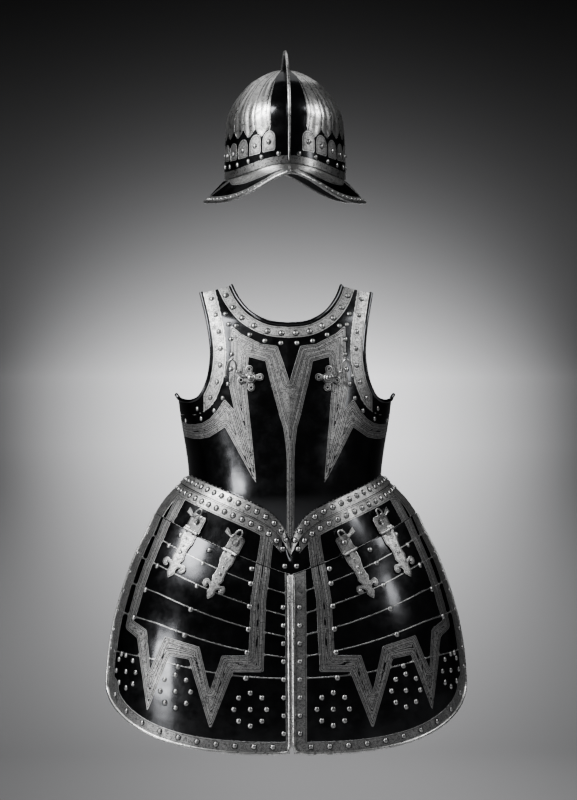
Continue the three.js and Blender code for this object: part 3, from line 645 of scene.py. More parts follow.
def chestRegion():
    # right half of the plate, laid out flat as (arc share * spread, height)
    spread = breast["spread"]
    neck = smoothLine(neckLine, np.linspace(0, 1, 60))
    arm = smoothLine(armLine, np.linspace(0, 1, 90))
    neck = neck[neck[:, 1] < shoulderHeight(neck[:, 0], 13) - 0.5]
    arm = arm[arm[:, 1] < shoulderHeight(arm[:, 0], 13) - 0.5]
    arm = arm[arm[:, 0] < chestHalf(arm[:, 1]) * 0.9985]
    topX = np.linspace(neck[-1, 0] + 0.6, arm[0, 0] + 0.2, 16)
    top = np.stack([topX, shoulderHeight(topX, 13)], 1)
    s = np.linspace(1, 0, 121)
    waistLine = waistPoint(s)
    sideZ = np.linspace(arm[-1, 1] - 1.0, waistLine[0, 2], 52)[:-1]
    centreZ = np.linspace(waistLine[-1, 2], neck[0, 1], 100)[1:-1]

    def flat(p):
        turn = np.arcsin(np.clip(p[:, 0] / chestHalf(p[:, 1]), -1, 1))
        return np.stack([turn * 2 / np.pi * spread, p[:, 1]], 1)
    outline = np.concatenate([flat(neck), flat(top), flat(arm), np.stack([np.full(len(sideZ), spread), sideZ], 1),
                              np.stack([s * spread, waistLine[:, 2]], 1),
                              np.stack([np.zeros(len(centreZ)), centreZ], 1)])
    verts, faces = fillOutline(outline, None, breast["spacing"])
    return chestAt(np.clip(verts[:, 0] / spread, 0, 1), verts[:, 1]), faces


def chestPattern(x, z):
    flat = np.stack([np.abs(x), z], 1)
    upper = bandUpper + [(-a, b) for a, b in reversed(bandUpper[:-1])]
    bands = np.maximum(signedDistance(flat, upper), signedDistance(flat, bandLower))
    neck = distanceToLine(flat, smoothLine(neckLine, np.linspace(0, 1, 40)))
    arm = distanceToLine(flat, smoothLine(armLine, np.linspace(0, 1, 60)))
    (a, b), (c, d) = breast["neckBand"], breast["armBand"]
    neckBand = np.minimum(neck - a, b - neck)
    armBand = np.minimum(np.minimum(arm - c, d - arm), np.where(z < -120, (137 - flat[:, 0]) * 0.8, 9))
    armRib = np.minimum(arm - d + 0.1, d + 1.1 - arm)
    borders = np.maximum(np.maximum(neckBand, armBand), armRib)
    onBand = bands > borders
    return np.maximum(bands, borders), np.where(onBand, 1.0, 0.0), np.where(onBand, 0.45, 0.74)


def buildBreastplate():
    s, steps = np.linspace(0, 1, 121), np.linspace(0, 1, 11)
    share = fauldShare(s, breast["flange"])
    grid = fauldPoint(s[:, None] + 0 * steps, share[:, None] * steps)
    half = joined([chestRegion(), (grid.reshape(-1, 3), gridFaces(len(s), len(steps)))])
    verts, faces = weld(*joined([half, mirrored(*half)]))
    faces, normals = facingOut(verts, consistent(faces), np.array([0, -1, 0]))
    below = waistHeight(verts[:, 0]) - verts[:, 2]
    onFlange = below > 1
    bright, lined, tone = chestPattern(verts[:, 0], verts[:, 2])
    flange = np.minimum(below + 1.5, 9)
    bright = np.where(below > -1, flange, np.where(below > -3, np.maximum(flange, bright), bright))
    full, allFaces = thicken(verts, faces, normals, np.where(onFlange, breast["flangePlate"], breast["plate"]))
    values = etched(len(verts), len(full), bright, np.where(onFlange, 0.25, 1.0), np.where(onFlange, 0.0, lined),
                    np.where(onFlange, 1.0, tone))
    makePiece("breastplateShell", full, allFaces, values, plateSteel, "armour", "blackened_steel", "breastplate")


def buildBreastEdges():
    u = np.linspace(0, 1, 70)
    neck, arm = smoothLine(neckLine, u), smoothLine(armLine, u)
    right = chestPoint(neck[:, 0], neck[:, 1]) + [0, 1, 0]
    neckPath = np.concatenate([(right * [-1, 1, 1])[:0:-1], right])
    armPath = chestPoint(np.minimum(arm[:, 0], chestHalf(arm[:, 1]) * 0.998), arm[:, 1]) + [0, 1, 0]
    armTube = tubeMesh(np.concatenate([armPath, [[179.6, -2, -172.5]]]), breast["roll"], 14)
    verts, faces = joined([tubeMesh(neckPath, breast["roll"], 14), armTube, mirrored(*armTube)])
    values = etched(len(verts), len(verts))
    makePiece("turnedEdges", verts, faces, values, plateSteel, "armour", "blackened_steel")


def rivetChest():
    neck = smoothLine(neckLine, np.linspace(0, 1, 80))
    neck = np.concatenate([(neck * [-1, 1])[:0:-1], neck])
    for (distance, spacing, radius), end in zip(rivetRows["neck"], (4, -10)):
        row = spacedAlong(offsetLine(neck, distance, (0, 60)), spacing)
        x, z = row[row[:, 1] < shoulderHeight(np.abs(row[:, 0]), end)].T
        addRivets("armour", chestPoint(x, z), chestNormal(x, z), radius)
    arm = smoothLine(armLine, np.linspace(0, 1, 80))
    for (distance, spacing, radius), end in zip(rivetRows["arm"], (-10, -44)):
        row = spacedAlong(offsetLine(arm, distance, (200, -90)), spacing)
        x, z = row[(row[:, 1] < end) & (row[:, 0] < chestHalf(row[:, 1]) * 0.985)].T
        addBoth(("armour", "armour"), chestPoint(x, z), chestNormal(x, z), radius)


print("breastplate")
buildBreastplate()
buildBreastEdges()
rivetChest()

lame = {"flush": 2.0, "plate": 1.5, "bandStart": 21.0, "bandEnd": 41.0, "columns": 321, "rows": 36, "tongue": 14.0,
        "sideBorder": 11.5, "lowerEdge": 0.35, "lowRivets": ((-9.5, -447), (9.5, -447))}
fauldStripes = [[(22, -380), (28.6, -413), (34.7, -465), (58.7, -465), (50, -413), (46, -384)],
                [(207, -388), (182, -338), (166, -338), (192, -388)]]


def buildSkirtLame():
    s = np.linspace(-1, 1, lame["columns"])
    start = fauldShare(s, breast["flange"]) * 0.5
    share = start[:, None] + (1 - start[:, None]) * np.linspace(0, 1, lame["rows"])
    grid = fauldPoint(s[:, None] + 0 * share, share)
    verts = grid.reshape(-1, 3)
    faces, normals = facingOut(verts, gridFaces(*share.shape), np.array([0, -1, 0.3]))
    distance = (runAlong(grid) + breast["flange"] * 0.5).reshape(-1)
    flat = np.stack([np.abs(verts[:, 0]), verts[:, 2]], 1)
    fromBand = distance - lame["bandStart"]
    band = np.minimum(np.minimum(fromBand, lame["bandEnd"] - distance), flat[:, 0] - lame["tongue"])
    stripes = np.maximum(*[signedDistance(flat, stripe) for stripe in fauldStripes])
    sideBorder = lame["sideBorder"] - (grid[-1:, :, 0] - np.abs(grid[..., 0])).reshape(-1)
    band = np.maximum(band, np.minimum(sideBorder, fromBand))
    lowerEdge = lame["lowerEdge"] - np.linalg.norm(grid - grid[:, -1:], axis=-1).reshape(-1)
    full, allFaces = thicken(verts - normals * lame["flush"], faces, normals, lame["plate"])
    onBand = band > stripes
    values = etched(len(verts), len(full), np.maximum(np.maximum(band, stripes), lowerEdge),
                    np.where(onBand, 0.25, 1.0), np.where(onBand, 0.0, 1.0), np.where(onBand, 0.95, 0.52))
    makePiece("skirtLameShell", full, allFaces, values, plateSteel, "armour", "blackened_steel", "skirt_lame")


def rivetFauld():
    s = np.linspace(-0.985, 0.985, 241)
    for k, (distance, spacing, radius) in enumerate(rivetRows["fauld"]):
        share = fauldShare(s, distance)
        row = spacedAlong(np.concatenate([fauldPoint(s, share), s[:, None], share[:, None]], 1), spacing)
        row = row[np.abs(row[:, 0]) > 6 + 3 * k]
        normals = forwards(fauldNormal(row[:, 3], row[:, 4]))
        addRivets("armour", row[:, :3] - normals * lame["flush"] * k, normals, radius)
    for x, z in lame["lowRivets"]:
        point, normal = fauldSpot([x], [z])
        addRivets("armour", point - normal * lame["flush"], normal, 4.2)


print("skirt lame")
buildSkirtLame()
rivetFauld()

tasset = {"plate": 1.5, "step": 1.2, "topGap": 1.0, "roll": 2.75, "seamRoll": 3.25, "columns": 150, "lameRows": 10,
          "lowerRows": 56, "seamBorder": (24.0, 9.5), "hemBorder": 18.5, "sideBorder": 11.5, "stepHighlight": 0.75,
          "clusterRadius": 26.0, "seamX": 3.5}
lames = [(31, 0.03), (65, 0.07), (98, 0.125), (130, 0.2), (162, 0.32)]  # drop below the joint, growth with x
tassetFrame = [(22, -385), (28.6, -413), (34.7, -465), (40, -499), (44.6, -603), (44.6, -613.7), (93.3, -614),
               (129.4, -705.8), (162.7, -594.5), (193, -589.4), (228.8, -680.2), (244.6, -563.7),
               (263, -550.4), (255.5, -518), (243.5, -477), (230.5, -443), (215.5, -408), (200, -372),
               (186, -372), (202, -408), (217.5, -443), (230.5, -477), (242.5, -518), (249.7, -537.5),
               (228.8, -550.7), (224, -613.4), (200.8, -559), (146, -574.7), (129.9, -644.5), (111, -588),
               (68.6, -588), (64, -499), (58.7, -465), (50, -413), (45, -385)]
clusters = [(66, -673), (184, -646), (262, -619)]
# flange behind the joint: drop below it, depth behind the skirt's form
flangeRows = [(6.0, 1.45), (3.0, 1.55), (0.0, 1.7), (-2.5, 1.9), (-5.0, 2.1)]


def tassetSurface():
    seamX, step = tasset["seamX"], tasset["step"]
    q = 1 - (1 - np.linspace(0, 1, tasset["columns"])) ** 1.35
    reach = lambda h: seamX + (skirtHalf(h) - seamX) * q
    zTop = settle(np.full(q.shape, -400.), lambda h: jointHeight(reach(h))) - tasset["topGap"]
    xHem = seamX + (hem["half"] - seamX) * np.sin(np.pi * q / 2) ** 0.9
    zHem = hemHeight(xHem)
    top, low = reach(zTop) / skirtHalf(zTop), xHem / skirtHalf(zHem)

    def across(z):
        share = np.clip((zTop - z) / (zTop - zHem), 0, 1)
        return np.maximum(skirtHalf(z) * (top + (low - top) * share), seamX)
    rows, lifts, lines = [zTop], [step], []

    def addRows(before, after, shares):
        for share in shares:
            rows.append(before + (after - before) * share)
            lifts.append(step * (1 - share))
    for drop, grow in lames:
        line = settle(np.full(q.shape, -500.), lambda h: jointHeight(across(h)) - drop - grow * across(h))
        line = np.maximum(line, zHem)
        addRows(rows[-1], line, np.arange(1, tasset["lameRows"]) / tasset["lameRows"])
        rows.extend([line, np.maximum(line - 0.4, zHem)])
        lifts.extend([0, step])
        lines.append(rows[-1])
    addRows(rows[-1], zHem, np.arange(1, tasset["lowerRows"] + 1) / tasset["lowerRows"])
    z = np.stack(rows, 1)
    x = np.stack([across(r) for r in rows], 1)
    x[0, :] = seamX
    return skirtPoint(x, z), np.array(lifts), np.stack(lines, 1)


def tassetPattern(grid, lines, seamBorder):
    x, z = grid[..., 0], grid[..., 2]
    flat = np.stack([x.ravel(), z.ravel()], 1)
    band = signedDistance(flat, tassetFrame)
    border = np.maximum(tasset["hemBorder"] - distanceToLine(flat, grid[:, -1, [0, 2]]), seamBorder - flat[:, 0])
    border = np.maximum(border, tasset["sideBorder"] - (skirtHalf(flat[:, 1]) - flat[:, 0]))
    # thin polished strip along each step line: a painted highlight on the step's top edge
    edge = (tasset["stepHighlight"] - np.abs(z[..., None] - lines[:, None, :]).min(-1)).ravel()
    edge = np.maximum(edge, -9.0)
    onBand = band >= np.maximum(border, edge)
    choose = lambda own, onStepHighlight, onBorder: np.where(onBand, own, np.where(edge > border, onStepHighlight, onBorder))
    return {"bright": np.maximum(np.maximum(band, border), edge), "punched": choose(1.0, 0.0, 0.9),
            "lined": choose(1.0, 0.0, 0.0), "tone": choose(0.48, 0.8, 0.42)}


def buildTassets():
    grid, lifts, lines = tassetSurface()
    nu, nv = grid.shape[:2]
    normals = skirtNormal(grid[..., 0], grid[..., 2])
    outer = (grid + normals * lifts[None, :, None]).reshape(-1, 3)
    flatNormals = normals.reshape(-1, 3)
    faces, _ = facingOut(outer, gridFaces(nu, nv), flatNormals)
    depth = np.broadcast_to(tasset["plate"] + lifts[None, :], (nu, nv)).ravel()
    shell = thicken(outer, faces, flatNormals, depth)
    seamX, edge = tasset["seamX"], grid[:, -1]
    seam = skirtPoint(np.full(60, seamX), np.linspace(grid[0, 0, 2] - 2, -731, 60))
    sideZ = np.linspace(edge[-1, 2], grid[-1, 0, 2] - 2, 50)[1:]
    corner = skirtPoint(np.array([seamX + 3]), np.array([-741.]))
    path = np.concatenate([seam, corner, edge[4:], skirtPoint(skirtHalf(sideZ), sideZ)])
    roll = tubeMesh(path, np.where(path[:, 0] < seamX + 1, tasset["seamRoll"], tasset["roll"]), 12)
    down, depth = np.array(flangeRows).T
    stripX, stripZ = grid[:, :1, 0] + 0 * down, grid[:, :1, 2] - down
    out = skirtNormal(stripX, stripZ)
    strip = (skirtPoint(stripX, stripZ) - out * depth[None, :, None]).reshape(-1, 3)
    stripFaces, _ = facingOut(strip, gridFaces(nu, len(down)), out.reshape(-1, 3))
    flange = thicken(strip, stripFaces, out.reshape(-1, 3), 0.8)
    rollCount, flangeCount = len(roll[0]), len(flange[0])
    rollValues = etched(rollCount, rollCount, bright=0.9, tone=0.85)
    for side, body, seamBorder in zip(("right", "left"), tassetBodies, tasset["seamBorder"]):
        pattern = tassetPattern(grid, lines, seamBorder)
        values = etched(len(outer), len(shell[0]), **pattern)
        shellPlace = (plateSteel, body, "blackened_steel")
        makePiece(f"tassetShell_{side}", *sided(side, *shell), values, *shellPlace, f"tasset_{side}")
        makePiece(f"tassetEdge_{side}", *sided(side, *roll), rollValues, *shellPlace)
        makePiece(f"tassetFlange_{side}", *sided(side, *flange), etched(flangeCount, flangeCount), *shellPlace)
    rivetTassets(grid[:, -1, [0, 2]])


def rivetTassets(hemLine):
    def put(x, z, radius):
        x, z = np.atleast_1d(np.asarray(x, float)), np.atleast_1d(np.asarray(z, float))
        n = skirtNormal(x, z)
        addBoth(tassetBodies, skirtPoint(x, z) + n * 0.6, n, radius)
    for k, (drop, grow) in enumerate([(9, 0)] + lames):
        for x in (62 + 2.2 * k, 129 + 10.2 * k, 174 + 19 * k):
            put(x, jointHeight(x) - drop - grow * x - 3, 4.4)
    ring = np.arange(8) * np.pi / 4
    for x, z in clusters:
        right = unit(np.cross(skirtNormal(float(x), float(z)), [0, 0, 1.]))
        right = right * np.sign(right[0])
        put(x, z, 4.2)
        spots = skirtPoint(float(x), float(z)) + right * tasset["clusterRadius"] * np.sin(ring)[:, None]
        put(spots[:, 0], z + tasset["clusterRadius"] * np.cos(ring), 4.2)
    inner = offsetLine(hemLine, 10.5, (150, -900))
    row = spacedAlong(inner[(inner[:, 0] > 14) & (inner[:, 0] < skirtHalf(inner[:, 1]) * 0.985)], 30)
    put(row[:, 0], row[:, 1], 4.0)
    seamZ, sideZ = np.arange(-512, -725, -28.5), np.arange(-400, -640, -31.0)
    put(np.full(len(seamZ), 13.0), seamZ, 3.8)
    put(skirtHalf(sideZ) * 0.992, sideZ, 3.2)


print("tassets")
buildTassets()

helmet = {"plate": 1.5, "combHeight": 31, "combRoll": 3.0, "brimRoll": 2.6, "around": 170, "up": 84,
          "brimColumns": 288, "brimRows": 26, "fold": 182, "lift": 27, "lengthRatio": 1.22, "pitch": 0.063,
          "brimHalf": (132, 189), "brimSide": 145.5, "brimPeak": 48.5, "inset": 2.2, "centreGap": 0.15, "crown": 364.2,
          "firstRib": 19.0, "ribStep": 14.2, "ribs": 11, "tabTop": 56.0, "tabShoulder": 42.0, "tabTurn": 6.1,
          "gap": 2.3}
# Side profile of the skull: half width, height.
skullProfile = [(100, 182), (99.5, 214), (97.9, 252), (94.3, 284), (83, 309), (62, 335), (45.5, 347.5),
                (24, 358.5), (6, 363.5)]
luneEdge = [(182, 7), (231, 7.5), (246, 10), (263, 17), (280, 18), (355, 21), (364, 22)]  # height, degrees
# blackened fields of the brim: degrees from the front, share of the way to the rim
brimFields = [[(8, 0.60), (22, 0.60), (40, 0.54), (56, 0.40), (64, 0.20), (70, 0.42), (80, 0.78), (60, 0.80),
               (40, 0.80), (22, 0.78), (10, 0.72)],
              [(71, 0.10), (90, 0.10), (109, 0.10), (97, 0.70), (90, 0.76), (83, 0.70)]]


def skullPoint(angle, v):
    p = smoothLine(skullProfile, v)
    lift = helmet["lift"] * np.abs(np.sin(angle)) ** 3 * (1 - v) ** 2
    y = helmet["lengthRatio"] * p[..., 0] * np.sin(angle)
    return xyz(p[..., 0] * np.cos(angle), y, p[..., 1] + lift + helmet["pitch"] * y)


def skullNormal(angle, v):
    e = skullPoint(angle + .01, v) - skullPoint(angle - .01, v)
    f = skullPoint(angle, np.minimum(1, v + .01)) - skullPoint(angle, np.maximum(0, v - .01))
    return unit(np.cross(e, f))


def brimPoint(angle, u):
    c, n = np.cos(angle), np.sin(angle)
    a = skullPoint(angle, 0 * angle) - helmet["inset"] * skullNormal(angle, 0 * angle)
    halfWidth, halfLength = helmet["brimHalf"]
    squareness = 2 / 1.7
    x1 = halfWidth * np.sign(c) * np.abs(c) ** squareness
    y1 = halfLength * np.sign(n) * np.abs(n) ** squareness
    z1 = helmet["brimSide"] + helmet["brimPeak"] * (np.abs(y1) / halfLength) ** 5 + helmet["pitch"] * y1
    z0 = a[..., 2] - 0.6
    return xyz(a[..., 0] + (x1 - a[..., 0]) * u, a[..., 1] + (y1 - a[..., 1]) * u, z0 + (z1 - z0) * u**1.15)


def crestPoint(share, height, clear):
    share = np.asarray(share, float)
    v = 1 - np.abs(share)
    angle = np.where(share < 0, -np.pi / 2, np.pi / 2)
    p, q = skullPoint(angle, v), skullPoint(angle, np.maximum(0, v - .02))
    along = np.sign(share) * np.minimum(1, np.abs(share) * 8)
    out = unit(xyz(0, p[..., 2] - q[..., 2], np.abs(q[..., 1]) - np.abs(p[..., 1]) + .001))
    out[..., 1] *= along
    rise = clear + height * np.sin(np.pi / 2 * (1 - np.abs(share))) ** 0.7
    return p + unit(out) * rise[..., None]


def brimFold(facing):
    return helmet["fold"] + helmet["lift"] * np.abs(np.cos(np.radians(facing))) ** 3


def skullPattern(facing, y, z, v):
    # facing: degrees from the front
    first, step = helmet["firstRib"], helmet["ribStep"]
    h = z - helmet["pitch"] * y - brimFold(facing)
    z = z - helmet["pitch"] * (y + np.abs(y))  # height as it is on the front half
    perDegree = smoothLine(skullProfile, v)[..., 0] * 1.12 * np.pi / 180
    tabAt = first + step * np.clip(np.round((facing - first) / step), 0, helmet["ribs"] - 1)
    ribs = first + step * np.arange(helmet["ribs"])
    bends = ribs + 4 * np.clip((z[..., None] - 258) / 24, 0, 1) * (1 - ribs / 90)
    toRib = np.abs(facing[..., None] - bends).min(-1) * perDegree
    mirrorFacing = np.minimum(facing, 180 - facing)
    fromLune = (mirrorFacing - np.interp(z, *zip(*luneEdge))) * perDegree
    half = step / 2
    place = np.abs(np.mod(facing - first, step) - half) / half
    low = 244 + 14 * place**1.5
    low = np.where(mirrorFacing < first - 1, 262, low)
    gore = np.minimum(np.minimum(toRib - 0.8, fromLune), (z - low) * 0.7)
    gore = np.where(mirrorFacing < first - 1, np.minimum(gore, 9), gore)
    bandTop = 21 + 7 * np.sin(np.radians(facing)) ** 2
    tabHalf = helmet["tabTurn"] * 100 * 1.12 * np.pi / 180
    rise = np.maximum(h - helmet["tabShoulder"], 0) * tabHalf / (helmet["tabTop"] - helmet["tabShoulder"])
    tab = np.minimum(tabHalf - np.hypot(np.abs(facing - tabAt) * perDegree, rise), h - bandTop - 1.0)
    gore = np.minimum(gore, -tab - helmet["gap"])
    lowBand = np.minimum(12.0 - h, 9)
    onGore = (gore >= tab) & (gore >= lowBand)
    values = {"bright": np.maximum(np.maximum(gore, tab), lowBand), "tone": np.where(onGore, 0.9, 0.7),
              "punched": np.where(onGore, 0.0, np.where(tab > lowBand, 0.6, 0.0))}
    return values, gore, np.clip(toRib / (half * perDegree), 0, 1)


def buildSkull():
    middle = helmet["centreGap"]
    angle = np.linspace(-np.pi / 2, np.pi / 2, helmet["around"])
    a, w = np.meshgrid(angle, np.linspace(0, 1, helmet["up"]) ** 0.95, indexing="ij")
    grid, normals = skullPoint(a, w), skullNormal(a, w)
    values, gore, flute = skullPattern(np.degrees(a) + 90, grid[..., 1], grid[..., 2], w)
    fluteDepth = np.clip(gore / 4, 0, 1) * (flute**2 * -1.1) + np.clip(gore / 2, 0, 1) * 0.55
    grid = grid + normals * np.clip(fluteDepth, -0.8, 0.5)[..., None]
    grid[..., 0] = np.maximum(grid[..., 0], middle)
    nu, nv = grid.shape[:2]
    verts = np.concatenate([grid.reshape(-1, 3), [[middle, 0, helmet["crown"]]]])
    n = nu * nv
    faces = gridFaces(nu, nv) + [((i + 1) * nv + nv - 1, n, i * nv + nv - 1) for i in range(nu - 1)]
    flatNormals = np.concatenate([normals.reshape(-1, 3), [[0, 0, 1.]]])
    faces, _ = facingOut(verts, consistent(faces), flatNormals)
    full, allFaces = thicken(verts, faces, flatNormals, helmet["plate"])
    full[:, 0] = np.maximum(full[:, 0], middle)
    values = {key: np.append(array.ravel(), array.ravel()[-1]) for key, array in values.items()}
    shell = (full, allFaces, etched(len(verts), len(full), **values))
    # this half's wall of the comb
    shares, climb = np.linspace(-0.97, 0.97, 121), np.linspace(0, 1, 9)
    top = helmet["combHeight"] - 2 * helmet["combRoll"]
    outerLine, innerLine = crestPoint(shares, top, 0), crestPoint(shares, 0, -1.0)
    sheet = innerLine[:, None] + (outerLine - innerLine)[:, None] * climb[None, :, None]
    thick = 1.1 + 2.6 * (1 - climb) ** 2.5
    sheet[..., 0] = middle + thick
    depth = np.broadcast_to(thick, sheet.shape[:2]).ravel()
    comb = thicken(sheet.reshape(-1, 3), gridFaces(len(shares), len(climb)), np.array([[1., 0, 0]]), depth)
    verts, faces, values = assemble([shell, comb + (etched(len(comb[0]), len(comb[0])),)])
    for side in ("right", "left"):
        place = (values, plateSteel, "armour", "blackened_steel", f"skull_{side}")
        recalculate(makePiece(f"skullShell_{side}", *sided(side, verts, faces), *place))
    rivetSkull()


def onSkull(facing, h):
    # spot on the skull at degrees from the front and height above the brim fold
    angle = np.radians(facing) - np.pi / 2
    tries = np.linspace(0, 0.6, 200)
    spots = skullPoint(angle[:, None] + 0 * tries, 0 * angle[:, None] + tries)
    heights = spots[..., 2] - helmet["pitch"] * spots[..., 1]
    v = np.array([np.interp(b + c, row, tries) for b, c, row in zip(brimFold(facing), h, heights)])
    return skullPoint(angle, v), skullNormal(angle, v)


def rivetSkull():
    onTabs = helmet["firstRib"] + helmet["ribStep"] * np.arange(helmet["ribs"])
    between = np.concatenate([[9.5], onTabs[:-1] + helmet["ribStep"] / 2, [170.5]])
    lowHeights = 15.7 + 3.6 * np.sin(np.radians(between)) ** 2
    for facing, h, radius in ((onTabs, 38 + 0 * onTabs, 3.6), (between, lowHeights, 4.0)):
        addBoth(("armour", "armour"), *onSkull(facing, h), radius)


def buildCombEdge():
    u = np.linspace(0, 1, 141)
    radius = helmet["combRoll"] * (0.55 + 0.45 * np.sqrt(np.maximum(0, np.sin(np.pi * u))))
    top = helmet["combHeight"] - 2 * helmet["combRoll"]
    path = crestPoint(np.linspace(-0.97, 0.97, 141), top, helmet["combRoll"] + 0.6)
    makePiece("combRoll", *tubeMesh(path, radius, 16), {}, brightSteel, "armour", "bright_steel", "comb_edge")


def buildBrim():
    turn = 2 * np.pi * (np.arange(helmet["brimColumns"]) + 0.5) / helmet["brimColumns"]
    u = np.linspace(0, 1, helmet["brimRows"])
    rows = brimPoint(turn[:, None] + 0 * u, 0 * turn[:, None] + u)
    stand = [skullPoint(turn, 0 * turn + v) - helmet["inset"] * skullNormal(turn, 0 * turn + v)
             for v in (0.085, 0.06, 0.03)]
    grid = np.concatenate([np.stack(stand, 1), rows], 1)
    verts = grid.reshape(-1, 3)
    faces, normals = facingOut(verts, gridFaces(*grid.shape[:2], closed=True), np.array([0, 0, 1.]))
    full, allFaces = thicken(verts, faces, normals, helmet["plate"])
    facing = np.degrees(np.arccos(np.clip(np.abs(np.sin(turn)), 0, 1)))
    shares = np.concatenate([[-0.3, -0.2, -0.1], u])
    perDegree, width, rim = 1.9, 45, 0.82
    spot = np.stack(np.broadcast_arrays(facing[:, None] * perDegree, shares[None, :] * width), -1).reshape(-1, 2)
    dark = np.full(len(spot), -9.0)
    for field in brimFields:
        dark = np.maximum(dark, signedDistance(spot, [(a * perDegree, b * width) for a, b in field]))
    onRim = spot[:, 1] > rim * width
    values = etched(len(verts), len(full), -dark - 0.5, np.where(onRim, 1.0, 0.15), 0.0, np.where(onRim, 0.5, 0.72))
    roll = tubeMesh(rows[:, -1] + [0, 0, -0.6], helmet["brimRoll"], 14, closed=True)
    rollValues = etched(len(roll[0]), len(roll[0]), bright=3.0, tone=0.5)
    brim = assemble([(full, allFaces, values), roll + (rollValues,)])
    makePiece("brimShell", *brim, plateSteel, "armour", "bright_steel", "brim")
    few = turn[::4]
    p = brimPoint(few, 0 * few + 0.90)
    n = unit(np.cross(brimPoint(few + .01, 0 * few + .9) - p, brimPoint(few, 0 * few + .95) - p))
    addRivets("armour", p, np.where(n[:, 2:] < 0, -n, n), 2.4)


print("helmet")
buildSkull()
buildCombEdge()
buildBrim()

hasp = {"inner": (95, -427), "outer": (157, -395), "middle": (126.0, -411.0), "stand": 6.2, "knuckle": 3.1,
        "pin": 1.5, "gap": 0.3, "plate": 1.5, "eye": 19.0, "eyeRadius": 4.3, "step": 1.5, "sleeve": 4.2, "end": 12.5}
strapHalf = [(10.6, 2.2), (10.6, 17), (9.2, 21), (7.6, 29), (8, 40), (9.4, 45), (8, 49.5), (6, 53), (9, 54.2),
             (13, 52.2), (16.6, 53.6), (18.8, 58), (18.2, 63), (15, 66), (11.4, 65.4), (9.6, 62.6), (11.4, 60.6),
             (12, 58.6), (9, 59.4), (6.2, 62), (5, 66), (6.4, 70), (4.4, 75), (0, 81)]
upperPlate = [(11.5, -3.1), (11.5, -27.5), (9, -30.5), (-9, -30.5), (-11.5, -27.5), (-11.5, -3.1)]
# locking hook: across, up, out from its seat
hookLine = [(22, 9.5, 1.6), (17, 7.5, 2.2), (12, 5.2, 3.0), (9.3, 6.0, 3.6), (7.8, 10, 4.2), (6.4, 15, 4.8),
            (3.8, 19.6, 5.2), (0, 21.6, 5.4), (-3.4, 19.4, 5.4), (-3.8, 14, 5.2), (-2.6, 8.5, 5.0), (-1.2, 4, 4.9),
            (-0.2, 1, 4.8)]
hookLeaf = [(9, 3.6), (16, 4.2), (25, 7), (24, 15.5), (19, 13), (13, 8.5)]
pinProfile = [(0, -14), (1.8, -13.8), (2.4, -13.2), (2.4, -12.8), (1.5, -12.8), (1.5, 12.8), (2.4, 12.8),
              (2.4, 13.2), (1.8, 13.8), (0, 14)]
studProfile = [(0, -1.7), (2.6, -1.7), (2.6, 3.2), (3.8, 3.2), (3.8, 4.0), (2.9, 5.0), (0, 5.3)]
strapRivets = [(1.5, 13, 2.4), (0.5, 26, 2.4), (0, 37, 3.4), (13.2, 60, 2.6), (-13.2, 60, 2.6)]


def turned(centre, axis, profile, sides=24, closed=False):
    # solid turned about an axis; profile rows are radius and height along the axis
    axis = unit(np.asarray(axis, float))
    side = unit(np.cross(axis, [0, 0, 1.] if abs(axis[2]) < 0.8 else [1., 0, 0]))
    turn = 2 * np.pi * np.arange(sides) / sides
    ring = np.cos(turn)[:, None] * side + np.sin(turn)[:, None] * np.cross(axis, side)
    verts, faces, rows = [], [], []
    for r, h in profile:
        start = len(verts)
        onAxis = r < 1e-6
        verts += [centre + axis * h] if onAxis else list(centre + axis * h + ring * r)
        rows.append([start] * sides if onAxis else [start + j for j in range(sides)])
    for low, high in zip(rows, rows[1:] + ([rows[0]] if closed else [])):
        for j in range(sides):
            k = (j + 1) % sides
            face = tuple(dict.fromkeys((low[j], low[k], high[k], high[j])))
            if len(face) > 2:
                faces.append(face)
    return np.array(verts), faces


def bentRod(points, radius, count=60):
    path = smoothLine(np.asarray(points, float), np.linspace(0, 1, count))
    share = np.linspace(0, 1, count)
    ends = np.sqrt(np.clip(np.minimum(share, 1 - share) * count / 2.5, 0.12, 1))
    return tubeMesh(path, np.interp(share, np.linspace(0, 1, len(radius)), radius) * ends, 14)


def laidPlate(outline, hole, place, base, thick, step):
    # cut-out plate laid on a surface; place gives spots and outward directions for flat coordinates
    flat, faces = fillOutline(outline, hole, step)
    spots, normals = place(flat[:, 0], flat[:, 1])
    faces, _ = facingOut(spots, consistent(faces), normals)
    edge = signedDistance(flat, outline)
    if hole is not None:
        edge = np.minimum(edge, distanceToLine(flat, list(hole) + [hole[0]]))
    low = (np.clip(edge, 0, 0.7) - 0.7) * 0.5
    full, allFaces = thicken(spots + normals * (base + thick + low)[:, None], faces, normals, thick + low)
    return full, allFaces, edge


def sleeve(centre, axis, low, high):
    out, bore, round = hasp["knuckle"], hasp["pin"] + hasp["gap"], 0.3
    profile = [(bore, low), (out - round, low), (out, low + round), (out, high - round), (out - round, high),
               (bore, high)]
    return turned(centre, axis, profile, 24, True)


def lug(centre, axis, low, high, target):
    # block that joins a sleeve to its plate
    middle = centre + axis * (low + high) / 2
    reach = target - middle
    reach = reach - axis * reach.dot(axis)
    length, reach = np.linalg.norm(reach), unit(reach)
    up, half = np.cross(axis, reach), (high - low) / 2
    corners = [middle + reach * u * length + axis * v * half + up * w * 0.8
               for u in (0, 1) for v in (-1, 1) for w in (-1, 1)]
    faces = [(0, 1, 3, 2), (4, 6, 7, 5), (0, 4, 5, 1), (2, 3, 7, 6), (0, 2, 6, 4), (1, 5, 7, 3)]
    return np.array(corners), faces


def makeFitting(name, part, body, replaced):
    verts, faces, values = part
    for side in ("right", "left"):
        place = (values, fittingSteel, body.format(side), "bright_steel", replaced.format(side))
        recalculate(makePiece(name.format(side), *sided(side, verts, faces), *place))


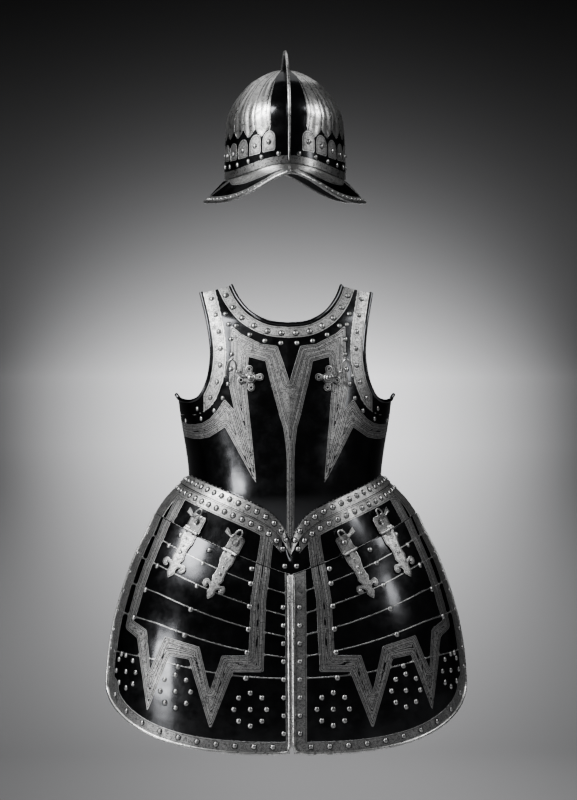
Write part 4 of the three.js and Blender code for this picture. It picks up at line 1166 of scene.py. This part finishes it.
def buildHasps():
    start, end = (skirtPoint(*(float(c) for c in hasp[key])) for key in ("inner", "outer"))
    axis = unit(end - start)
    lift = skirtNormal(*hasp["middle"]) * hasp["stand"]
    down = unit(np.array([axis[2], -axis[0]]))
    for name, foot in (("inner", start), ("outer", end)):
        buildHasp(name, foot, foot + lift, axis, down, np.array([-down[1], down[0]]))


def buildHasp(name, foot, centre, axis, down, across):
    ground = foot[[0, 2]]
    spotAt = lambda a, d: (ground[0] + across[0] * a + down[0] * d, ground[1] + across[1] * a + down[1] * d)
    onFauld = lambda a, d: fauldSpot(*spotAt(a, d))
    atFauld = lambda d: [row[0] for row in onFauld(np.array([0.0]), np.array([d]))]

    def onSkirt(a, d):
        x, z = spotAt(a, d)
        return skirtPoint(x, z), skirtNormal(x, z)

    def fastened(low, high, target):
        return [polished(sleeve(centre, axis, low, high)), polished(lug(centre, axis, low, high, target))]

    strap = strapHalf + [(-w, d) for w, d in reversed(strapHalf[:-1])]
    full, faces, edge = laidPlate(strap, None, onSkirt, 1.7, hasp["plate"], hasp["step"])
    values = etched(len(edge), len(full), edge + 0.6, 0.8, 0.0, 0.55)
    spot, out = (row[0] for row in onSkirt(np.array([0.0]), np.array([8.0])))
    half, reach = hasp["sleeve"], hasp["end"]
    made = {"strap": assemble([(full, faces, values)] + fastened(-half, half, spot + out * 2.45))}
    turn = np.linspace(0, 2 * np.pi, 21)[:-1]
    eye = [(hasp["eyeRadius"] * math.cos(t), -hasp["eye"] + hasp["eyeRadius"] * math.sin(t)) for t in turn]
    full, faces, edge = laidPlate(upperPlate, eye, onFauld, hasp["gap"], hasp["plate"], hasp["step"])
    values = etched(len(edge), len(full), edge + 0.6, 0.3, 0.0, 0.8)
    spot, out = atFauld(-7.0)
    ends = [fastened(low, low + reach - half - hasp["gap"], spot + out * 1.05) for low in (-reach, half + hasp["gap"])]
    (leftSleeve, leftLug), (rightSleeve, rightLug) = ends
    made["plate"] = assemble([(full, faces, values), leftSleeve, rightSleeve, leftLug, rightLug])
    made["pin"] = polished(turned(centre, axis, pinProfile, 16))
    seat, out = atFauld(-hasp["eye"])
    made["stud"] = polished(turned(seat, out, studProfile, 20))
    over, upward = xyz(across[0], 0, across[1]), xyz(-down[0], 0, -down[1])
    over, upward = unit(over - out * over.dot(out)), unit(upward - out * upward.dot(out))
    path = [seat + over * a + upward * u + out * (h + 0.8) for a, u, h in hookLine]
    leaf, faces = fillOutline(hookLeaf, None, 2.0)
    flat = (seat + over * leaf[:, :1] + upward * leaf[:, 1:])[:, [0, 2]] - ground
    spots, normals = onFauld(flat @ across, flat @ down)
    faces, _ = facingOut(spots, consistent(faces), normals)
    leaf = thicken(spots + normals * 1.3, faces, normals, 1.2)
    made["hook"] = assemble([polished(bentRod(path, (1.5, 1.4, 1.3, 1.3, 1.1))), polished(leaf)])
    for kind, part in made.items():
        owner = "tasset_{}_body" if kind == "strap" else "armour"
        makeFitting(f"{kind}_{{}}_{name}", part, owner, f"hasp_{kind}_{{}}_{name}")
    for a, d, radius in strapRivets:
        spots, normals = onSkirt(np.array([float(a)]), np.array([float(d)]))
        addBoth(tassetBodies, spots + normals * 3.0, normals, radius)


rosette = {"x": 62.0, "z": -147.0, "lobe": 6.2, "disc": 9.6, "plate": 1.6, "rivet": 2.4, "gap": 0.3, "hole": 2.1}
rosetteLobes = [(15.5, -2), (2, 15.5), (-15.5, 1), (-1, -15.5)]
# strap hook: right, up and out from the middle of its rosette
swivelLine = [(5.6, 2.2, 2.3), (10, 3.6, 2.4), (14, 6, 2.4), (20, 10, 3), (22.5, 15, 5), (22, 21, 9), (23, 26, 13),
              (27, 29, 15), (32, 26, 14), (36, 19, 11), (38.5, 11, 7.5), (40, 3, 6)]
tipProfile = [(0, -2.6), (1.8, -2.2), (2.6, -0.8), (2.6, 0.8), (1.8, 2.2), (0, 2.6)]
beadProfile = [(0, -3), (2.2, -2.4), (3, -0.8), (3, 0.8), (2.2, 2.4), (0, 3)]


def rosetteOutline():
    outline = []
    for t in np.radians(np.arange(0, 360, 3.0)):
        ray, best = np.array([math.cos(t), math.sin(t)]), rosette["disc"]
        for lobe in rosetteLobes:
            along, aside = ray.dot(lobe), ray[0] * lobe[1] - ray[1] * lobe[0]
            if along > 0 and abs(aside) < rosette["lobe"]:
                best = max(best, along + math.sqrt(rosette["lobe"] ** 2 - aside**2))
        outline.append(tuple(ray * best))
    return outline


def buildRosettes():
    centre, out = chestPoint(rosette["x"], rosette["z"]), chestNormal(rosette["x"], rosette["z"])
    right = unit(np.array([1., 0, 0]) - out * out[0])
    up, gap = np.cross(out, right), rosette["gap"]
    spot = lambda *along: centre + sum(np.asarray(a, float)[..., None] * way for a, way in zip(along, (right, up, out)))
    place = lambda a, b: (spot(a, b, gap + 0 * a), np.broadcast_to(out, (len(a), 3)))
    full, faces, edge = laidPlate(rosetteOutline(), None, place, 0.0, rosette["plate"], 1.1)
    flat = np.stack([(full - centre) @ right, (full - centre) @ up], 1)[:len(edge)]
    holes = np.min([np.linalg.norm(flat - lobe, axis=1) for lobe in rosetteLobes], axis=0) - rosette["hole"]
    values = etched(len(edge), len(full), np.minimum(edge + 0.5, holes), 0.4, 0.0, 0.6)
    base, bore = gap + rosette["plate"] + gap, rosette["rivet"] + gap
    ringProfile = [(bore, 0), (7.0, 0), (7.4, 0.5), (7.4, 1.7), (6.8, 2.2), (bore, 2.2)]
    high = base + 2.2 + gap
    rivetProfile = [(0, gap), (rosette["rivet"], gap), (rosette["rivet"], high), (5, high), (4.7, high + 1.2),
                    (3.6, high + 2.5), (1.9, high + 3.3), (0, high + 3.5)]
    tipAxis = spot(40, 3, base + 6) - spot(39.7, 6, base + 6.5)
    beadAxis = spot(22, 14, base + 4) - spot(19, 9, base + 3)
    hook = [turned(centre, out, [(r, base + h) for r, h in ringProfile], 32, True),
            bentRod([spot(a, b, h + base) for a, b, h in swivelLine], (2.1, 2.1, 2.0, 1.9, 1.8, 1.6), 90),
            turned(spot(39.9, 4.4, base + 6.2), tipAxis, tipProfile, 20),
            turned(spot(20.5, 10.8, base + 3.2), beadAxis, beadProfile, 20)]
    made = {"rosette": (full, faces, values), "swivel_hook": assemble([polished(part, 0.6) for part in hook]),
            "rosette_rivet": polished(turned(centre, out, rivetProfile, 28), 0.6)}
    for kind, part in made.items():
        makeFitting(f"{kind}Piece_{{}}", part, "hook_{}_body" if kind == "swivel_hook" else "armour", f"{kind}_{{}}")


print("hasps and chest hooks")
buildHasps()
buildRosettes()


def rivetTree(material):
    # a low dome at every spot, and round its foot a dark collar that is painted shade, with grime
    tree = bpy.data.node_groups.new("rivetHeads", "GeometryNodeTree")
    tree.interface.new_socket("Geometry", in_out="INPUT", socket_type="NodeSocketGeometry")
    for name in ("Head height", "Shade collar"):
        tree.interface.new_socket(name, in_out="INPUT", socket_type="NodeSocketFloat")
    tree.interface.new_socket("Geometry", in_out="OUTPUT", socket_type="NodeSocketGeometry")
    node = nodeMaker(tree)
    made = lambda kind, inputs, **settings: node(kind, inputs, **settings).outputs[0]
    given = node("NodeGroupInput").outputs
    outward = made("GeometryNodeInputNamedAttribute", {"Name": "out"}, data_type="FLOAT_VECTOR")
    size = made("GeometryNodeInputNamedAttribute", {"Name": "size"}, data_type="FLOAT")
    turn = made("FunctionNodeAlignRotationToVector", {"Vector": outward}, axis="Z")
    dome = made("GeometryNodeMeshUVSphere", {"Segments": 12, "Rings": 8, "Radius": 1.0})
    scale = made("ShaderNodeCombineXYZ", {"X": 1.0, "Y": 1.0, "Z": given["Head height"]})
    dome = made("GeometryNodeTransform", {"Geometry": dome, "Scale": scale})
    shadeCollar = made("GeometryNodeMeshUVSphere", {"Segments": 12, "Rings": 4, "Radius": given["Shade collar"]})
    shadeCollar = made("GeometryNodeTransform", {"Geometry": shadeCollar, "Scale": (1, 1, 0.13)})
    # the ring value marks the collar, which the material darkens as painted shade
    shadeCollar = made("GeometryNodeStoreNamedAttribute", {"Geometry": shadeCollar, "Name": "ring", "Value": 1.0},
                  data_type="FLOAT")
    head = node("GeometryNodeJoinGeometry")
    tree.links.new(dome, head.inputs[0])
    tree.links.new(shadeCollar, head.inputs[0])
    placing = {"Points": given["Geometry"], "Instance": head.outputs[0], "Rotation": turn, "Scale": size}
    solid = made("GeometryNodeRealizeInstances", {"Geometry": made("GeometryNodeInstanceOnPoints", placing)})
    smooth = made("GeometryNodeSetShadeSmooth", {"Geometry": solid})
    done = made("GeometryNodeSetMaterial", {"Geometry": smooth, "Material": material})
    tree.links.new(done, node("NodeGroupOutput").inputs[0])
    return tree


def buildRivets():
    tree = rivetTree(rivetSteel)
    names = {s.name: s.identifier for s in tree.interface.items_tree if s.in_out == "INPUT"}
    for body, spots in rivets.items():
        points, normals, sizes = (np.array(column, np.float64) for column in zip(*spots))
        mesh = bpy.data.meshes.new("rivetSpots")
        mesh.from_pydata((points * mm).tolist(), [], [])
        outward = mesh.attributes.new("out", "FLOAT_VECTOR", "POINT")
        outward.data.foreach_set("vector", normals.astype(np.float32).ravel())
        size = mesh.attributes.new("size", "FLOAT", "POINT")
        size.data.foreach_set("value", (sizes * mm).astype(np.float32))
        holder = bpy.data.objects.new("rivetSpots", mesh)
        bpy.context.scene.collection.objects.link(holder)
        modifier = holder.modifiers.new("rivets", "NODES")
        modifier.node_group = tree
        modifier[names["Head height"]] = 0.58
        # radius of the dark collar, painted shade round each rivet head
        modifier[names["Shade collar"]] = 1.24
        graph = bpy.context.evaluated_depsgraph_get()
        solid = bpy.data.meshes.new_from_object(holder.evaluated_get(graph))
        solid.name = f"rivets_{body}"
        bpy.data.objects.remove(holder)
        piece = bpy.data.objects.new(f"rivets_{body}", solid)
        bpy.context.scene.collection.objects.link(piece)
        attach(piece, body)
        print("rivets on", body, len(spots))


buildRivets()

for obj in frame["nodes"].values():
    obj.data.materials.clear()
    obj.data.materials.append(brightSteel)
print("materials on the carried pieces")

view = {"distance": 5.5, "turn": -3.0, "lens": 150, "height": -0.1815, "aside": 0.0058}
# lights: place, size, power, target
lights = {"left": ((-2.72, -1.6, -0.45), (0.9, 0.55), 44, (0, 0, -0.3)),
          "right": ((2.3, -1.8, 0.8), (0.4, 1.0), 12, (0, 0, -0.3)),
          "topLeft": ((-1.45, -0.8, 1.4), (1.1, 1.2), 115, (0, 0, 0)),
          "topRight": ((1.5, -0.5, 1.45), (0.8, 0.8), 30, (0, 0, 0)),
          "back": ((-0.4, 1.7, 2.2), (3.0, 1.2), 14, (0, 0, 0.2)),
          "wall": ((0.1, 1.5, 1.7), (1.4, 0.5), 125, (0.19, 3.4, -0.25))}
# stage, in metres: the wall's colour is a painted pool of light, palest between two heights, with painted shade fading
# up, down and to the sides
room = {"floor": -1.0, "front": -7.0, "wall": 3.4, "cove": 1.2, "top": 4.5, "half": 7.0, "glowTone": 0.83,
        "glowTop": -0.12, "glowBottom": -0.30, "fadeUp": 5.45, "fadeDown": 2.5, "bend": 1.15,
        "middle": (0.19, -0.22), "sideFade": (0.05, 0.85), "strengthRange": (0.1, 1.15, 0.945, 0.33),
        "frontRange": (1.2, 0.4), "frontTone": 0.38}


def aim(obj, target):
    obj.rotation_euler = (Vector(target) - obj.location).to_track_quat("-Z", "Y").to_euler()


def addCamera():
    data = bpy.data.cameras.new("camera")
    data.sensor_width = 36
    data.lens = view["lens"]
    camera = bpy.data.objects.new("camera", data)
    bpy.context.scene.collection.objects.link(camera)
    a = math.radians(view["turn"])
    camera.location = (view["distance"] * math.sin(a), -view["distance"] * math.cos(a), view["height"])
    aim(camera, (view["aside"], 0, view["height"]))
    bpy.context.scene.camera = camera


def addLight(name, place, size, power, target):
    data = bpy.data.lights.new(name, "AREA")
    data.shape = "RECTANGLE"
    data.size, data.size_y = size
    data.energy = power
    light = bpy.data.objects.new(name, data)
    bpy.context.scene.collection.objects.link(light)
    light.location = place
    aim(light, target)


def roomMaterial():
    material = bpy.data.materials.new("floorWithPaintedGlow")
    material.use_nodes = True
    tree = material.node_tree
    node = nodeMaker(tree)
    maths = lambda operation, a, b=0.0: calculate(tree, operation, a, b)
    x, y, z = node("ShaderNodeSeparateXYZ", {0: node("ShaderNodeTexCoord").outputs["Object"]}).outputs
    # painted light and shade: the wall is brightest between two heights and darkens above, below and to the sides
    above = maths("MAXIMUM", maths("SUBTRACT", z, room["glowTop"]), 0.0)
    below = maths("MAXIMUM", maths("SUBTRACT", room["glowBottom"], z), 0.0)
    below = maths("MULTIPLY", maths("POWER", below, room["bend"]), -room["fadeDown"])
    fall = calculate(tree, "MULTIPLY_ADD", above, -room["fadeUp"], below)
    level = maths("MULTIPLY", maths("EXPONENT", fall), room["glowTone"])
    middleX, middleZ = room["middle"]
    aside = fade(tree, maths("ABSOLUTE", maths("SUBTRACT", x, middleX)), *room["sideFade"])
    strength = fade(tree, maths("ABSOLUTE", maths("SUBTRACT", z, middleZ)), *room["strengthRange"])
    level = maths("MULTIPLY", level, maths("SUBTRACT", 1.0, maths("MULTIPLY", aside, strength)))
    wall = node("ShaderNodeCombineColor", {0: level, 1: level, 2: maths("MULTIPLY", level, 1.02)}).outputs[0]
    # painted shade: the floor towards the front takes an even darker tone
    tone = room["frontTone"]
    colour = blendColours(tree, fade(tree, y, *room["frontRange"]), wall, (tone, tone, tone * 1.013, 1))
    shader = tree.nodes["Principled BSDF"]
    tree.links.new(colour, shader.inputs["Base Color"])
    shader.inputs["Roughness"].default_value = 0.8
    shader.inputs["Specular IOR Level"].default_value = 0.0
    # from behind, the wall lets the view through
    through = node("ShaderNodeMixShader", {0: node("ShaderNodeNewGeometry").outputs["Backfacing"],
                                           1: shader.outputs[0],
                                           2: node("ShaderNodeBsdfTransparent").outputs[0]})
    tree.links.new(through.outputs[0], tree.nodes["Material Output"].inputs[0])
    return material


def addRoom():
    floor, wall, cove = room["floor"], room["wall"], room["cove"]
    curve = [(wall - cove + cove * math.sin(a), floor + cove * (1 - math.cos(a)))
             for a in np.linspace(0, math.pi / 2, 16)]
    profile = [(room["front"], floor)] + curve + [(wall, room["top"])]
    n = len(profile)
    mesh = bpy.data.meshes.new("floor")
    mesh.from_pydata([(x, y, z) for x in (-room["half"], room["half"]) for y, z in profile], [],
                     [(k, n + k, n + k + 1, k + 1) for k in range(n - 1)])
    mesh.shade_smooth()
    mesh.materials.append(roomMaterial())
    stage = bpy.data.objects.new("floor", mesh)
    bpy.context.scene.collection.objects.link(stage)


addCamera()
for name, settings in lights.items():
    addLight(name, *settings)
world = bpy.data.worlds.new("room")
world.use_nodes = True
world.node_tree.nodes["Background"].inputs[0].default_value = (0.035, 0.035, 0.037, 1)
bpy.context.scene.world = world
addRoom()
print("camera, lights and room")
